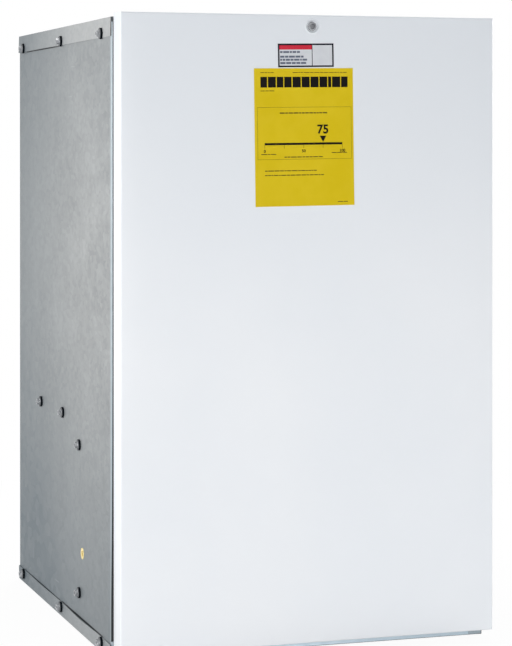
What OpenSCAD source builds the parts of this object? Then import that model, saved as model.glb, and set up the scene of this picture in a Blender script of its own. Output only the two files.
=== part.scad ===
// Downflow electric furnace in a sheet-metal cabinet with one lift-off front door.
// The origin is at the bottom centre of the whole furnace, +Z up, the front towards -Y.

/* [Cabinet] */
// Width over the two side panels
cab_w = 538; // [520:2:620]
// Depth of the side panels from front to rear
cab_d = 597; // [580:1:680]
// Height of the cabinet on its base
cab_h = 864; // [840:2:960]
// Thickness of the galvanised sheet
sheet_t = 1; // [0.8:0.1:1.4]
// Width of the inward flange at the front of a side panel
front_flange_w = 20; // [18:1:28]
// Width of the inward flange at the rear of a side panel
rear_flange_w = 15; // [14:1:24]
// Height of the folded strip round the top
top_strip_h = 26; // [24:1:34]
// Height of the folded strip round the base
base_strip_h = 20.4; // [18:0.2:26]
// Distance of the strips behind the front edge of a side panel
strip_setback = 2; // [1:1:14]
// Height of the flange over the front opening
lintel_h = 42; // [40:1:48]
// Height of the flange under the front opening
sill_h = 45; // [42:1:56]

/* [Air openings] */
// Width of the return opening in the top
return_w = 410; // [340:5:420]
// Distance of the return opening behind the front
return_front = 120; // [100:5:180]
// Distance of the return opening from the rear
return_rear = 40; // [34:1:70]
// Depth of the turned-down rim of the return opening
return_rim = 10; // [6:1:16]
// Width of the supply opening in the base
supply_w = 400; // [340:5:420]
// Distance of the supply opening behind the front
supply_front = 225; // [215:5:260]
// Distance of the supply opening from the rear
supply_rear = 40; // [34:1:70]

/* [Base and duct bolts] */
// Radius of the floor bolt holes
floor_bolt_r = 4.5; // [3.5:0.5:6]
// Distance of the floor bolts inside the side panels
floor_bolt_inset = 30; // [24:1:36]
// Distance of the front floor bolts behind the front
floor_bolt_front = 55; // [45:5:90]
// Distance of the rear floor bolts from the rear
floor_bolt_rear = 20; // [18:1:26]
// Radius of the duct bolt holes in the top
duct_bolt_r = 3.5; // [2.5:0.5:5]
// Distance of the duct bolts outside the return opening
duct_bolt_gap = 24; // [18:1:28]
// Distance of the duct bolts inside the ends of the return opening
duct_bolt_end = 30; // [20:5:60]

/* [Door] */
// Gap between a side edge of the door and the side panel's face
door_inset = 1; // [0.5:0.5:4]
// Depth of the door pan
door_d = 38; // [34:1:50]
// Thickness of the painted door sheet
door_t = 0.9; // [0.8:0.1:1.4]
// Height of the door's bottom edge above the base
door_bottom = 14.5; // [12:0.5:18]
// Rise of the door's top edge above the cabinet
door_rise = 4.5; // [2:0.5:8]
// Width of the door's rear lip
door_lip = 15; // [13:1:18]
// Height of the door's rear lip along the bottom
door_toe = 24; // [23:0.5:30]
// Gap between the door's lip and the cabinet, which the gasket fills
seal_t = 4; // [3:0.5:6]
// Width of the gasket
seal_w = 12; // [9:1:13]
// Distance of the gasket inside the side panels' faces
seal_inset = 0.2; // [0.2:0.2:5]
// Air left between the gasket and the door's lip
seal_slack = 0.2; // [0.1:0.1:0.5]
// Thickness of the door's insulation
door_pad_t = 12; // [8:1:16]

/* [Door screw and hooks] */
// Width of the door screw's face as a share of its head
door_head_taper = 0.72; // [0.6:0.02:0.9]
// Wall of the threaded boss that takes the door screw
thread_wall = 2; // [1.5:0.5:3]
// Height of the threaded boss that takes the door screw
thread_h = 3; // [2:0.5:4]
// Offset of the door screw from the middle of the door
door_screw_x = 1; // [-20:1:20]
// Distance of the door screw below the top of the cabinet
door_screw_drop = 11; // [8:0.5:12]
// Radius of the door screw's shank
door_screw_r = 2.4; // [2:0.1:3]
// Radius of the door screw's head
door_head_r = 6.2; // [5:0.1:7]
// Height of the door screw's head
door_head_h = 3.6; // [3:0.1:5]
// Depth of the dimple in the door
dimple_h = 2; // [1:0.1:2.5]
// Radius of the dimple in the door
dimple_r = 10; // [9:0.5:13]
// Distance of a door hook from the middle
hook_x = 160; // [100:5:200]
// Width of a door hook
hook_w = 28; // [20:1:36]
// Reach of a door hook past the gasket gap
hook_reach = 12; // [8:1:20]

/* [Stickers] */
// Width of the large sticker
sticker_w = 142; // [120:1:160]
// Height of the large sticker
sticker_h = 187; // [160:1:200]
// Offset of the large sticker from the middle
sticker_x = -10.5; // [-40:0.5:40]
// Distance of the large sticker below the top of the door
sticker_drop = 72.5; // [70:0.5:200]
// Width of the small tag
tag_w = 81; // [60:1:100]
// Height of the small tag
tag_h = 33; // [24:1:34]
// Offset of the small tag from the middle
tag_x = -8.5; // [-40:0.5:40]
// Gap between the large sticker and the small tag
tag_gap = 1; // [1:0.5:8]
// Thickness of a sticker
sticker_t = 0.3; // [0.2:0.1:0.5]

/* [Cabinet screws] */
// Radius of a sheet-metal screw
screw_r = 2.4; // [2:0.1:2.8]
// Width across the flats of a screw head
screw_flats = 8; // [7:0.5:9]
// Radius of a screw's washer face
washer_r = 7.8; // [6:0.1:8]
// Thickness of a screw's washer face
washer_h = 2.6; // [0.8:0.1:3]
// Height of a screw's hexagon above the washer face
hex_h = 5.2; // [2.4:0.1:6]
// Length of a screw's shank
screw_len = 12; // [10:1:14]
// Distance of the first strip screw behind the front
strip_screw_front = 54; // [40:1:90]
// Distance of the middle strip screw behind the front
strip_screw_mid = 299; // [260:1:360]
// Distance of the last strip screw from the rear
strip_screw_rear = 34; // [20:1:60]
// Distance of the top strip screws below the top
top_screw_drop = 20.3; // [18:0.1:20.4]
// Height of the base strip screws above the base
base_screw_z = 13.3; // [12:0.1:14]
// Distance of the rear edge screws from the side
edge_screw_in = 9; // [7.5:0.1:9]

/* [Blower deck and heater plate] */
// Height of the blower deck's top face
deck_z = 310; // [300:1:330]
// Depth of the deck's turned-down flange
deck_flange_h = 25; // [22:1:36]
// Distance of the deck's screws below its top face
deck_screw_drop = 10; // [9:0.5:14]
// Distance of the front deck screw behind the front
deck_screw_front = 291; // [240:1:340]
// Distance of the rear deck screw behind the front
deck_screw_rear = 437; // [380:1:520]
// Distance of the heater plate behind the front
heater_s = 178; // [175:1:190]
// Width of the heater plate's side flanges
heater_flange_w = 18; // [16:1:24]
// Height of the lower heater plate screw
heater_screw_low = 55.6; // [50:0.2:80]
// Height of the upper heater plate screw
heater_screw_high = 265.6; // [240:0.2:270]
// Thickness of the insulation boards
liner_t = 12; // [8:1:14]

/* [Blower] */
// Radius of the blower wheel
wheel_r = 127; // [115:1:130]
// Length of the blower wheel
wheel_len = 200; // [180:2:204]
// Radial depth of the blades
blade_depth = 20; // [14:1:24]
// Number of blades
blade_count = 36; // [24:1:44]
// Thickness of a blade
blade_t = 1; // [0.8:0.1:1.4]
// Smallest radius of the scroll
scroll_r0 = 137; // [134:1:140]
// Largest radius of the scroll
scroll_r1 = 215; // [205:1:222]
// Inside width of the scroll along its axis
scroll_len = 240; // [232:2:250]
// Thickness of the scroll's sheet
scroll_t = 1.2; // [1:0.1:1.5]
// Height of the blower axis above the deck
axis_rise = 185; // [178:1:200]
// Offset of the blower axis from the middle
axis_x = -20; // [-30:1:-10]
// Distance of the blower's middle behind the front
axis_s = 330; // [320:1:345]
// Throat radius of the inlet rings
throat_r = 104; // [98:1:106]
// Rolled radius of the inlet rings
inlet_roll = 14; // [10:1:14]

/* [Motor] */
// Radius of the motor shell
motor_r = 70; // [60:1:76]
// Length of the motor
motor_len = 130; // [110:1:136]
// Gap between the motor and the wheel's disc
motor_gap = 35; // [30:1:40]
// Radius of the motor shaft
shaft_r = 6.35; // [5:0.05:8]
// Running clearance round the motor shaft
shaft_clear = 0.05; // [0.02:0.01:0.1]
// Radius of the stator's bore
stator_r = 42; // [34:1:46]
// Air gap between stator and rotor core
air_gap = 0.5; // [0.3:0.1:1]
// Width of the belly band
band_w = 25; // [18:1:30]
// Distance of the motor arms in front of the scroll
arm_stand = 14; // [10:1:18]

/* [Heating elements] */
// Number of heating elements
element_count = 3; // [1:1:3]
// Distance between heating elements
element_pitch = 150; // [125:1:150]
// Height of the elements' middle
element_z = 165; // [160:1:175]
// Length of an element behind the heater plate
element_len = 340; // [260:5:360]
// Radius of a coil of resistance wire
coil_r = 5; // [4:0.1:6]
// Clearance between a coil and its ceramic ring
coil_clear = 0.4; // [0.3:0.1:0.6]

/* [Controls] */
// Width of a two-pole breaker
breaker_w = 50; // [44:1:54]
// Height of a breaker
breaker_h = 80; // [70:1:84]
// Depth of a breaker
breaker_d = 60; // [50:1:62]
// Distance between breakers
breaker_pitch = 56; // [55:1:60]
// Swing of a breaker handle between on and off
handle_swing = 40; // [30:1:44]
// Radius of the power cable hole in the right side
power_hole_r = 18; // [14:0.5:22]
// Radius of the thermostat wire hole in the left side
wire_hole_r = 6.5; // [5:0.5:8]

/* [Hidden] */
$fn = 48;

fit = 0.3;
hole_clear = 0.1;
weld_t = 1.5;
overlap = 0.5;
skin = 0.01;

head_h = washer_h + hex_h;
half_w = cab_w / 2;
inner_w = half_w - sheet_t;
door_head_proud = door_head_h - dimple_h + skin;
total_d = door_head_proud + door_d + seal_t + cab_d + 2 * sheet_t + head_h;
door_y = -total_d / 2 + door_head_proud;
front_y = door_y + door_d + seal_t;
rear_y = front_y + cab_d;
door_w = cab_w - 2 * door_inset;
door_top = cab_h + door_rise;
door_h = door_top - door_bottom;
door_screw_z = cab_h - door_screw_drop;

sticker_z = door_top - sticker_drop - sticker_h / 2;

strip_s = [strip_screw_front, strip_screw_mid, cab_d - strip_screw_rear];
strip_points = [for (s = strip_s) for (z = [base_screw_z, cab_h - top_screw_drop]) [s, z]];
heater_screw_s = heater_s + heater_flange_w / 2;
panel_points = [
  [deck_screw_front, deck_z - deck_screw_drop],
  [deck_screw_rear, deck_z - deck_screw_drop],
  [heater_screw_s, heater_screw_low],
  [heater_screw_s, heater_screw_high]];
rear_screw_in = 60;
rear_strip_x = [-half_w + rear_screw_in, 0, half_w - rear_screw_in];
edge_screw_z = [cab_h / 6, cab_h / 2, cab_h * 5 / 6];
wire_hole_z = 114;
wire_hole = [heater_s - 8, wire_hole_z];
power_hole_s = 100;
power_hole_z = 215;
power_hole = [power_hole_s, power_hole_z];

supply_len = cab_d - supply_front - supply_rear;
return_len = cab_d - return_front - return_rear;
floor_bolt_x = half_w - floor_bolt_inset;
floor_bolt_y = [front_y + floor_bolt_front, rear_y - floor_bolt_rear];
duct_bolt_x = return_w / 2 + duct_bolt_gap;
duct_bolt_y = [front_y + return_front + duct_bolt_end, rear_y - return_rear - duct_bolt_end];

bracket_w = 50;
bracket_notch = 15;
bracket_y = door_y + dimple_h + door_t + fit;
bracket_top = cab_h - 3;
bracket_foot = cab_h - lintel_h + 2;
bracket_arm = cab_h - 5 - seal_w - fit - weld_t - 1;
hook_z = door_bottom + door_t + 6;
hook_t = 1.5;
seal_top = cab_h - 5;
seal_bottom = hook_z + hook_t + 3;
seal_x = half_w - seal_inset;

axis_y = front_y + axis_s;
axis_z = deck_z + axis_rise;
scroll_half = scroll_len / 2;
scroll_out = scroll_half + scroll_t;
cutoff_a = -50;
spiral_turn = 360 + cutoff_a;
spiral_steps = 40;
cutoff_x = scroll_r0 * cos(cutoff_a);
cutoff_z = scroll_r0 * sin(cutoff_a);
inlet_r = throat_r + inlet_roll;
inlet_flange = 10;
inlet_t = 1.2;
motor_rear = -motor_gap;
motor_front = motor_rear - motor_len;
bell_t = 10;
shell_wall = 4;
arm_t = 2.5;
arm_w = 20;
arm_foot_len = 18;
arm_foot_gap = 10;
arm_foot_r = inlet_r + inlet_flange + arm_foot_gap + arm_foot_len;
arm_bolt_r = arm_foot_r - 9.5;
arm_angles = [90, 210, 330];
band_t = 1.5;
band_y = -scroll_out - arm_stand;
hub_r = 18;
hub_len = 30;
hub_front = -12;
leg_x = -105;
leg_w = 40;
leg_t = 2;
leg_bolt_z = 108;
leg_head = 8;
bolt_len = 8;
bolt_washer_r = 6;
flange_rim = 14;

mount_w = 110;
mount_h = 76;
mount_t = 1.2;
coil_x = 28;
coil_z = 18;
rod_r = 2.5;
rod_z = 26;
ring_wall = 2;
ring_len = 8;
support_t = 1;
support_count = 4;
support_first = 18;
stud_r = 2.5;
stud_len = 18;
element_x = [for (i = [0 : element_count - 1]) (i - (element_count - 1) / 2) * element_pitch];
heater_front = front_y + heater_s;
heater_back = heater_front + sheet_t;
support_step = (element_len - support_first - support_t) / (support_count - 1);

breaker_mid_x = -150;
bracket_margin = 54;
breaker_x = [breaker_mid_x - breaker_pitch / 2, breaker_mid_x + breaker_pitch / 2];
breaker_z = 68;
breaker_back_s = 100;
breaker_back = front_y + breaker_back_s;
breaker_front = breaker_back - breaker_d;
handle_well_w = 34;
handle_well_h = 34;
handle_barrel_r = 8;
handle_well_d = 12;
handle_y = breaker_front + 6;
handle_len = 12;
handle_t = 6;
handle_pin_r = 2;
controls_z = deck_z - 50;

liner_low = deck_z;
liner_high = cab_h - top_strip_h - 10;
liner_front = 25;

flange_x0 = axis_x + cutoff_x - scroll_t;
flange_x1 = axis_x + scroll_r1 + scroll_t;
flange_bolt_in = 20;
flange_bolts = [for (x = [flange_x0 + flange_bolt_in, flange_x1 - flange_bolt_in]) for (k = [-1, 1])
  [x, axis_y + k * (scroll_out + fit + flange_rim / 2)]];
leg_foot = 20;
leg_bolt_y = [for (k = [-1, 1]) axis_y + k * (scroll_out + leg_t + leg_foot / 2)];

core_gap = 20;
core_len = motor_len - 2 * bell_t - 2 * core_gap;
core_mid = -(motor_front + motor_rear) / 2;
boss_wall = 9;
boss_h = 4;
vent_in = 32;
vent_len = 22;
vent_w = 8;

disc_t = 2;
disc_r = wheel_r - blade_depth / 2;
ring_h = 3;
blade_sweep = 12;
blade_steps = 5;
slot_clear = 0.15;

capacitor_r = 22;
capacitor_h = 82;
capacitor_tab_x = 8;
capacitor_gap = 1.7;
strap_t = 1.2;
arm_tip_x = axis_x + arm_foot_r * cos(30) + arm_w / 4;
capacitor_x = arm_tip_x + capacitor_gap + strap_t + capacitor_r;
strap_pad = 0.2;
strap_h = 16;
strap_ear = 12;
capacitor_y = axis_y - scroll_out - capacitor_r - strap_t - strap_pad;
capacitor_z = deck_z + 30;

tab_w = 6;
tab_t = 0.8;
tab_len = 8;
limit_r = 8.5;
limit_flange_r = 10;
limit_h = 13;
limit_tab_x = 5;
limit_z = element_z + mount_h / 2 + 14;
foot_t = 2;
foot_h = 20;
sequencer_x = [-190, -110];
sequencer_size = [42, 40, 44];
sequencer_foot_w = 54;
sequencer_tab = 12;
relay_x = 90;
relay_size = [48, 36, 48];
relay_foot_w = 60;
relay_tab = 14;

transformer_x = 190;
transformer_stand = 30;
core_w = 66;
core_d = 30;
core_h = 56;
leg_core = 20;
window_w = 13;
window_h = 32;
coil_d = 56;
ear_w = 4;
ear_h = 16;
ear_t = 1.5;
ear_reach = 12;

strip_x = 100;
strip_z = 78;
strip_w = 104;
strip_d = 14;
strip_h = 26;
terminal_count = 5;
terminal_pitch = 16;
terminal_w = 12;
terminal_h = 22;
terminal_d = 5;
lug_x = 210;
lug_z = 60;
lug_w = 18;
lug_h = 44;
lug_t = 3;
lug_block = 18;
lug_bore_r = 5;
lug_screw_r = 3;

wire_r = 2.2;
cable_r = 4;
wire_sides = 8;
wire_reference = [0.3, 0.2, 0.93];
wire_bend = 8;
wire_rise = 12;
cable_bend = 9;
cable_lead = 18;
cable_side = 40;
cable_drop = 40;
cable_turn = 15;
cable_end = 14;

function along(s) = front_y + s;
function flat(list) = [for (part = list) for (item = part) item];
function spiral_r(turn) = scroll_r0 + (scroll_r1 - scroll_r0) * turn / spiral_turn;
function spiral_point(turn, grow) =
  let (r = spiral_r(turn) + grow, a = cutoff_a - turn) [r * cos(a), r * sin(a)];
function spiral(grow) =
  [for (i = [0 : spiral_steps]) spiral_point(i * spiral_turn / spiral_steps, grow)];
function reversed(list) = [for (i = [len(list) - 1 : -1 : 0]) list[i]];

module both_sides() {
  children();
  mirror([1, 0, 0]) children();
}

// Hexagon head with its washer face on z = 0 and its shank below
module hex_screw(length = screw_len, rim = washer_r) {
  cylinder(r = rim, h = washer_h);
  translate([0, 0, washer_h]) cylinder(r = screw_flats / 2 / cos(30), h = hex_h, $fn = 6);
  translate([0, 0, -length + screw_r]) cylinder(r = screw_r, h = length - screw_r);
  translate([0, 0, -length]) cylinder(r1 = 0.4, r2 = screw_r, h = screw_r);
}

// Places its child on the left side face, +Z outwards
module on_left(point, proud = 0) {
  translate([-half_w - proud, along(point[0]), point[1]]) rotate([0, -90, 0]) children();
}

// Places its child on a rear face, +Z outwards
module on_rear(x, y, z) {
  translate([x, y, z]) rotate([-90, 0, 0]) children();
}

// Places its child on a face that looks to the front, +Z outwards
module on_front(x, y, z) {
  translate([x, y, z]) rotate([90, 0, 0]) children();
}

module left_hole(point, radius) {
  translate([-half_w - 10, along(point[0]), point[1]]) rotate([0, 90, 0]) cylinder(r = radius, h = 20);
}

module front_hole(x, y, z, radius, depth) {
  translate([x, y - depth / 2, z]) rotate([-90, 0, 0]) cylinder(r = radius, h = depth);
}

module box(low, high) {
  translate(low) cube(high - low);
}

// Plain side panel of the left side, without its cable hole
module side_blank() {
  low = sheet_t;
  high = cab_h - sheet_t;
  difference() {
    union() {
      box([-half_w, front_y, low], [-inner_w, rear_y, high]);
      box([-half_w, front_y, low], [-half_w + front_flange_w, front_y + sheet_t, high]);
      box([-half_w, rear_y - sheet_t, low], [-half_w + rear_flange_w, rear_y, high]);
    }
    for (point = concat(strip_points, panel_points)) left_hole(point, screw_r + hole_clear);
    for (z = edge_screw_z)
      front_hole(-half_w + edge_screw_in, rear_y, z, screw_r + hole_clear, 10);
  }
}

module left_side_panel() {
  color("lightgray") difference() {
    side_blank();
    left_hole(wire_hole, wire_hole_r);
  }
}

module right_side_panel() {
  color("lightgray") mirror([1, 0, 0]) difference() {
    side_blank();
    left_hole(power_hole, power_hole_r);
  }
}

module back_panel() {
  color("silver") difference() {
    box([-half_w + fit, rear_y, sheet_t], [half_w - fit, rear_y + sheet_t, cab_h - sheet_t]);
    for (x = [-half_w + edge_screw_in, half_w - edge_screw_in]) for (z = edge_screw_z)
      front_hole(x, rear_y, z, screw_r + hole_clear, 10);
    for (x = rear_strip_x) for (z = [base_screw_z, cab_h - top_screw_drop])
      front_hole(x, rear_y, z, screw_r + hole_clear, 10);
  }
}

// Plate with a strip folded over both sides and the rear, and a flange at the front
module frame_blank(plate_z, strip_z, strip_h, flange_z, flange_h, screw_z) {
  difference() {
    union() {
      box([-half_w, front_y, plate_z], [half_w, rear_y + 2 * sheet_t, plate_z + sheet_t]);
      both_sides() box([-half_w - sheet_t, front_y + strip_setback, strip_z],
        [-half_w, rear_y + 2 * sheet_t, strip_z + strip_h]);
      box([-half_w - sheet_t, rear_y + sheet_t, strip_z],
        [half_w + sheet_t, rear_y + 2 * sheet_t, strip_z + strip_h]);
      box([-half_w + front_flange_w + fit, front_y, flange_z],
        [half_w - front_flange_w - fit, front_y + sheet_t, flange_z + flange_h]);
    }
    both_sides() for (s = strip_s) left_hole([s, screw_z], screw_r + hole_clear);
    for (x = rear_strip_x)
      front_hole(x, rear_y + 2 * sheet_t, screw_z, screw_r + hole_clear, 10);
  }
}

module top_frame() {
  y0 = along(return_front);
  y1 = y0 + return_len;
  color("silver") difference() {
    union() {
      frame_blank(cab_h - sheet_t, cab_h - top_strip_h, top_strip_h,
        cab_h - lintel_h, lintel_h, cab_h - top_screw_drop);
      box([-return_w / 2 - sheet_t, y0 - sheet_t, cab_h - return_rim],
        [return_w / 2 + sheet_t, y1 + sheet_t, cab_h]);
    }
    box([-return_w / 2, y0, 0], [return_w / 2, y1, cab_h + 1]);
    for (x = [-duct_bolt_x, duct_bolt_x]) for (y = duct_bolt_y)
      translate([x, y, cab_h - 5]) cylinder(r = duct_bolt_r, h = 10);
  }
}

module bottom_frame() {
  y0 = along(supply_front);
  color("silver") difference() {
    frame_blank(0, 0, base_strip_h, 0, sill_h, base_screw_z);
    box([-supply_w / 2, y0, -1], [supply_w / 2, y0 + supply_len, sheet_t + 1]);
    for (x = [-floor_bolt_x, floor_bolt_x]) for (y = floor_bolt_y)
      translate([x, y, -1]) cylinder(r = floor_bolt_r, h = 5);
  }
}

module gasket() {
  color("#2b2b2d") difference() {
    box([-seal_x, front_y - seal_t + seal_slack, seal_bottom], [seal_x, front_y, seal_top]);
    box([-seal_x + seal_w, front_y - seal_t, seal_bottom + seal_w],
      [seal_x - seal_w, front_y + 1, seal_top - seal_w]);
  }
}

// Z-shaped bracket on the lintel that the door screw goes into
module door_bracket() {
  x0 = door_screw_x - bracket_w / 2;
  x1 = door_screw_x + bracket_w / 2;
  color("silver") difference() {
    union() {
      box([x0, front_y - weld_t, bracket_foot], [x1, front_y, bracket_arm + weld_t]);
      box([x0, bracket_y, bracket_arm], [x1, front_y, bracket_arm + weld_t]);
      box([x0, bracket_y, bracket_arm], [x1, bracket_y + weld_t, bracket_top]);
      on_front(door_screw_x, bracket_y + weld_t + thread_h, door_screw_z)
        cylinder(r = door_screw_r + thread_wall, h = thread_h + overlap);
    }
    front_hole(door_screw_x, bracket_y, door_screw_z, door_screw_r + hole_clear, 20);
  }
}

module door_hooks() {
  color("silver") for (x = [-hook_x, hook_x]) {
    box([x - hook_w / 2, front_y - weld_t, hook_z - 8], [x + hook_w / 2, front_y, hook_z + hook_t]);
    box([x - hook_w / 2, front_y - seal_t - hook_reach, hook_z],
      [x + hook_w / 2, front_y, hook_z + hook_t]);
  }
}

module strip_screws() {
  color("gainsboro") both_sides()
    for (point = strip_points) on_left(point, sheet_t) hex_screw();
}

module side_screws() {
  color("gainsboro") both_sides()
    for (point = panel_points) on_left(point) hex_screw();
}

module back_screws() {
  color("gainsboro") {
    for (x = rear_strip_x) for (z = [base_screw_z, cab_h - top_screw_drop])
      on_rear(x, rear_y + 2 * sheet_t, z) hex_screw();
    for (x = [-half_w + edge_screw_in, half_w - edge_screw_in]) for (z = edge_screw_z)
      on_rear(x, rear_y + sheet_t, z) hex_screw();
  }
}

// Snap-in plastic bushing with a collar on each side of the sheet
module bushing(hole_r, wall, collar, inside) {
  difference() {
    union() {
      cylinder(r = hole_r + collar, h = 2);
      translate([0, 0, -inside]) cylinder(r = hole_r, h = inside + overlap);
    }
    translate([0, 0, -inside - 1]) cylinder(r = hole_r - wall, h = inside + 4);
  }
}

module wire_bushing() {
  color("#cdc4a5") on_left(wire_hole) bushing(wire_hole_r, 2, 1.5, 6);
}

module power_bushing() {
  color("#202022") mirror([1, 0, 0]) on_left(power_hole) bushing(power_hole_r, 2.5, 4, 10);
}

module side_liner() {
  back = rear_y - sheet_t - liner_t;
  box([-inner_w, along(liner_front), liner_low], [-inner_w + liner_t, back, liner_high]);
}

module liner_left() {
  color("gold") side_liner();
}

module liner_right() {
  color("gold") mirror([1, 0, 0]) side_liner();
}

module liner_back() {
  reach = half_w - rear_flange_w - fit;
  color("gold") box([-reach, rear_y - liner_t, liner_low], [reach, rear_y, liner_high]);
}

// Dished dimple round the door screw, as a cone frustum
module dimple(shift) {
  translate([door_screw_x, door_y + shift, door_screw_z]) rotate([-90, 0, 0])
    cylinder(r1 = dimple_r, r2 = dimple_r - 3, h = dimple_h);
}

module door_panel() {
  lip_y = door_y + door_d - door_t;
  x0 = -door_w / 2;
  x1 = door_w / 2;
  color("white") difference() {
    union() {
      difference() {
        box([x0, door_y, door_bottom], [x1, door_y + door_d, door_top]);
        box([x0 + door_t, door_y + door_t, door_bottom + door_t],
          [x1 - door_t, lip_y, door_top - door_t]);
        box([x0 + door_lip, lip_y - 1, door_bottom + door_toe],
          [x1 - door_lip, door_y + door_d + 1, door_top - door_lip]);
      }
      dimple(door_t);
    }
    dimple(-skin);
    front_hole(door_screw_x, door_y, door_screw_z, door_screw_r + 0.6, 20);
    box([door_screw_x - bracket_w / 2 - bracket_notch, lip_y - 1, door_top - door_lip - 1],
      [door_screw_x + bracket_w / 2 + bracket_notch, door_y + door_d + 1, door_top - door_t]);
    for (x = [-hook_x, hook_x])
      box([x - hook_w / 2 - 2, lip_y - 1, hook_z - 3],
        [x + hook_w / 2 + 2, door_y + door_d + 1, hook_z + hook_t + fit]);
  }
}

module door_insulation() {
  edge = door_t + 3;
  color("khaki") difference() {
    box([-door_w / 2 + edge, door_y + door_t, door_bottom + edge],
      [door_w / 2 - edge, door_y + door_t + door_pad_t, door_top - edge]);
    box([door_screw_x - bracket_w / 2 - bracket_notch, door_y, bracket_foot - 8],
      [door_screw_x + bracket_w / 2 + bracket_notch, door_y + door_d, door_top + 1]);
  }
}

module door_screw() {
  seat_y = door_y + dimple_h - skin;
  reach = bracket_y + weld_t + 2 * thread_h - seat_y;
  color("whitesmoke") on_front(door_screw_x, seat_y, door_screw_z) {
    cylinder(r = door_head_r, h = door_head_h / 2);
    translate([0, 0, door_head_h / 2])
      cylinder(r1 = door_head_r, r2 = door_head_r * door_head_taper, h = door_head_h / 2);
    translate([0, 0, -reach]) cylinder(r = door_screw_r, h = reach);
  }
}

module yellow_sticker() {
  color("#d0b82c") box([sticker_x - sticker_w / 2, door_y - sticker_t, sticker_z - sticker_h / 2],
    [sticker_x + sticker_w / 2, door_y, sticker_z + sticker_h / 2]);
}

module small_tag() {
  z0 = sticker_z + sticker_h / 2 + tag_gap;
  color("lightgray") box([tag_x - tag_w / 2, door_y - sticker_t, z0],
    [tag_x + tag_w / 2, door_y, z0 + tag_h]);
}

module blower_deck() {
  z0 = deck_z - sheet_t;
  y0 = along(heater_s - 12);
  color("silver") difference() {
    union() {
      box([-inner_w, y0, z0], [inner_w, rear_y - sheet_t, deck_z]);
      both_sides() box([-inner_w, along(heater_s + heater_flange_w + 8), deck_z - deck_flange_h],
        [-inner_w + sheet_t, rear_y - sheet_t, deck_z]);
      box([-inner_w, y0, deck_z - 10], [inner_w, y0 + sheet_t, deck_z]);
    }
    box([axis_x + cutoff_x, axis_y - scroll_half, z0 - 1],
      [axis_x + scroll_r1, axis_y + scroll_half, deck_z + 1]);
    both_sides() for (s = [deck_screw_front, deck_screw_rear])
      left_hole([s, deck_z - deck_screw_drop], screw_r + hole_clear);
    for (point = flange_bolts) translate([point[0], point[1], z0 - 1])
      cylinder(r = screw_r + hole_clear, h = 5);
    for (y = leg_bolt_y) translate([axis_x + leg_x, y, z0 - 1])
      cylinder(r = screw_r + hole_clear, h = 5);
  }
}

module heater_plate() {
  top = deck_z - sheet_t;
  color("silver") difference() {
    union() {
      box([-inner_w, heater_front, sheet_t], [inner_w, heater_back, top]);
      both_sides() box([-inner_w, heater_front, sheet_t],
        [-inner_w + sheet_t, heater_front + heater_flange_w, top - deck_flange_h]);
      box([-inner_w, heater_front, sheet_t], [inner_w, heater_front + heater_flange_w, 2 * sheet_t]);
    }
    both_sides() for (z = [heater_screw_low, heater_screw_high])
      left_hole([heater_screw_s, z], screw_r + hole_clear);
    for (x = element_x)
      box([x - mount_w / 2 + 10, heater_front - 1, element_z - mount_h / 2 + 8],
        [x + mount_w / 2 - 10, heater_back + 1, element_z + mount_h / 2 - 8]);
  }
}

// Moves its child to the middle of the blower, with +Z along +Y and +Y up
module at_blower() {
  translate([axis_x, axis_y, axis_z]) rotate([90, 0, 0]) children();
}

// Blower coordinates are drawn in the X-Z plane, so +Z of this space looks to the front
module blower_slab(front, thick) {
  translate([0, 0, -front - thick]) linear_extrude(height = thick) children();
}

module scroll_wrapper() {
  foot = -axis_rise;
  strip = concat(
    spiral(0), [[scroll_r1, foot]],
    [[scroll_r1 + scroll_t, foot]], reversed(spiral(scroll_t)));
  color("lightsteelblue") at_blower() union() {
    blower_slab(-scroll_half, scroll_len) polygon(strip);
    blower_slab(-scroll_half, scroll_len)
      translate([cutoff_x - scroll_t, foot]) square([scroll_t, cutoff_z - scroll_t * 0.8 - foot]);
  }
}

module scroll_side(front) {
  outline = concat([[cutoff_x - scroll_t, -axis_rise]], spiral(scroll_t),
    [[scroll_r1 + scroll_t, -axis_rise]]);
  color("lightsteelblue") at_blower() difference() {
    blower_slab(front, scroll_t) polygon(outline);
    translate([0, 0, -front - 5]) cylinder(r = inlet_r + fit, h = 10);
    if (front < 0) for (a = arm_angles)
      rotate([0, 0, a]) translate([arm_bolt_r, 0, -front - 5])
        cylinder(r = screw_r + hole_clear, h = 10);
    translate([leg_x, -leg_bolt_z, -front - 5]) cylinder(r = screw_r + hole_clear, h = 10);
  }
}

module scroll_front() {
  scroll_side(-scroll_out);
}

module scroll_rear() {
  scroll_side(scroll_half);
}

// Rolled inlet ring, its flange outside the scroll side and its throat inside
module inlet_ring() {
  arc = [for (i = [0 : 8]) i * 90 / 8];
  inside = [for (a = arc) [inlet_r - inlet_roll * sin(a), inlet_t - inlet_roll * (1 - cos(a))]];
  outside = [for (a = arc)
    [inlet_r - (inlet_roll - inlet_t) * sin(a),
      inlet_t - inlet_roll + (inlet_roll - inlet_t) * cos(a)]];
  rotate_extrude($fn = 96) polygon(concat(
    [[inlet_r + inlet_flange, 0], [inlet_r + inlet_flange, inlet_t]], inside, reversed(outside)));
}

module inlet_ring_front() {
  color("gainsboro") at_blower() translate([0, 0, scroll_out]) inlet_ring();
}

module inlet_ring_rear() {
  color("gainsboro") at_blower() mirror([0, 0, 1]) translate([0, 0, scroll_out]) inlet_ring();
}

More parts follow.
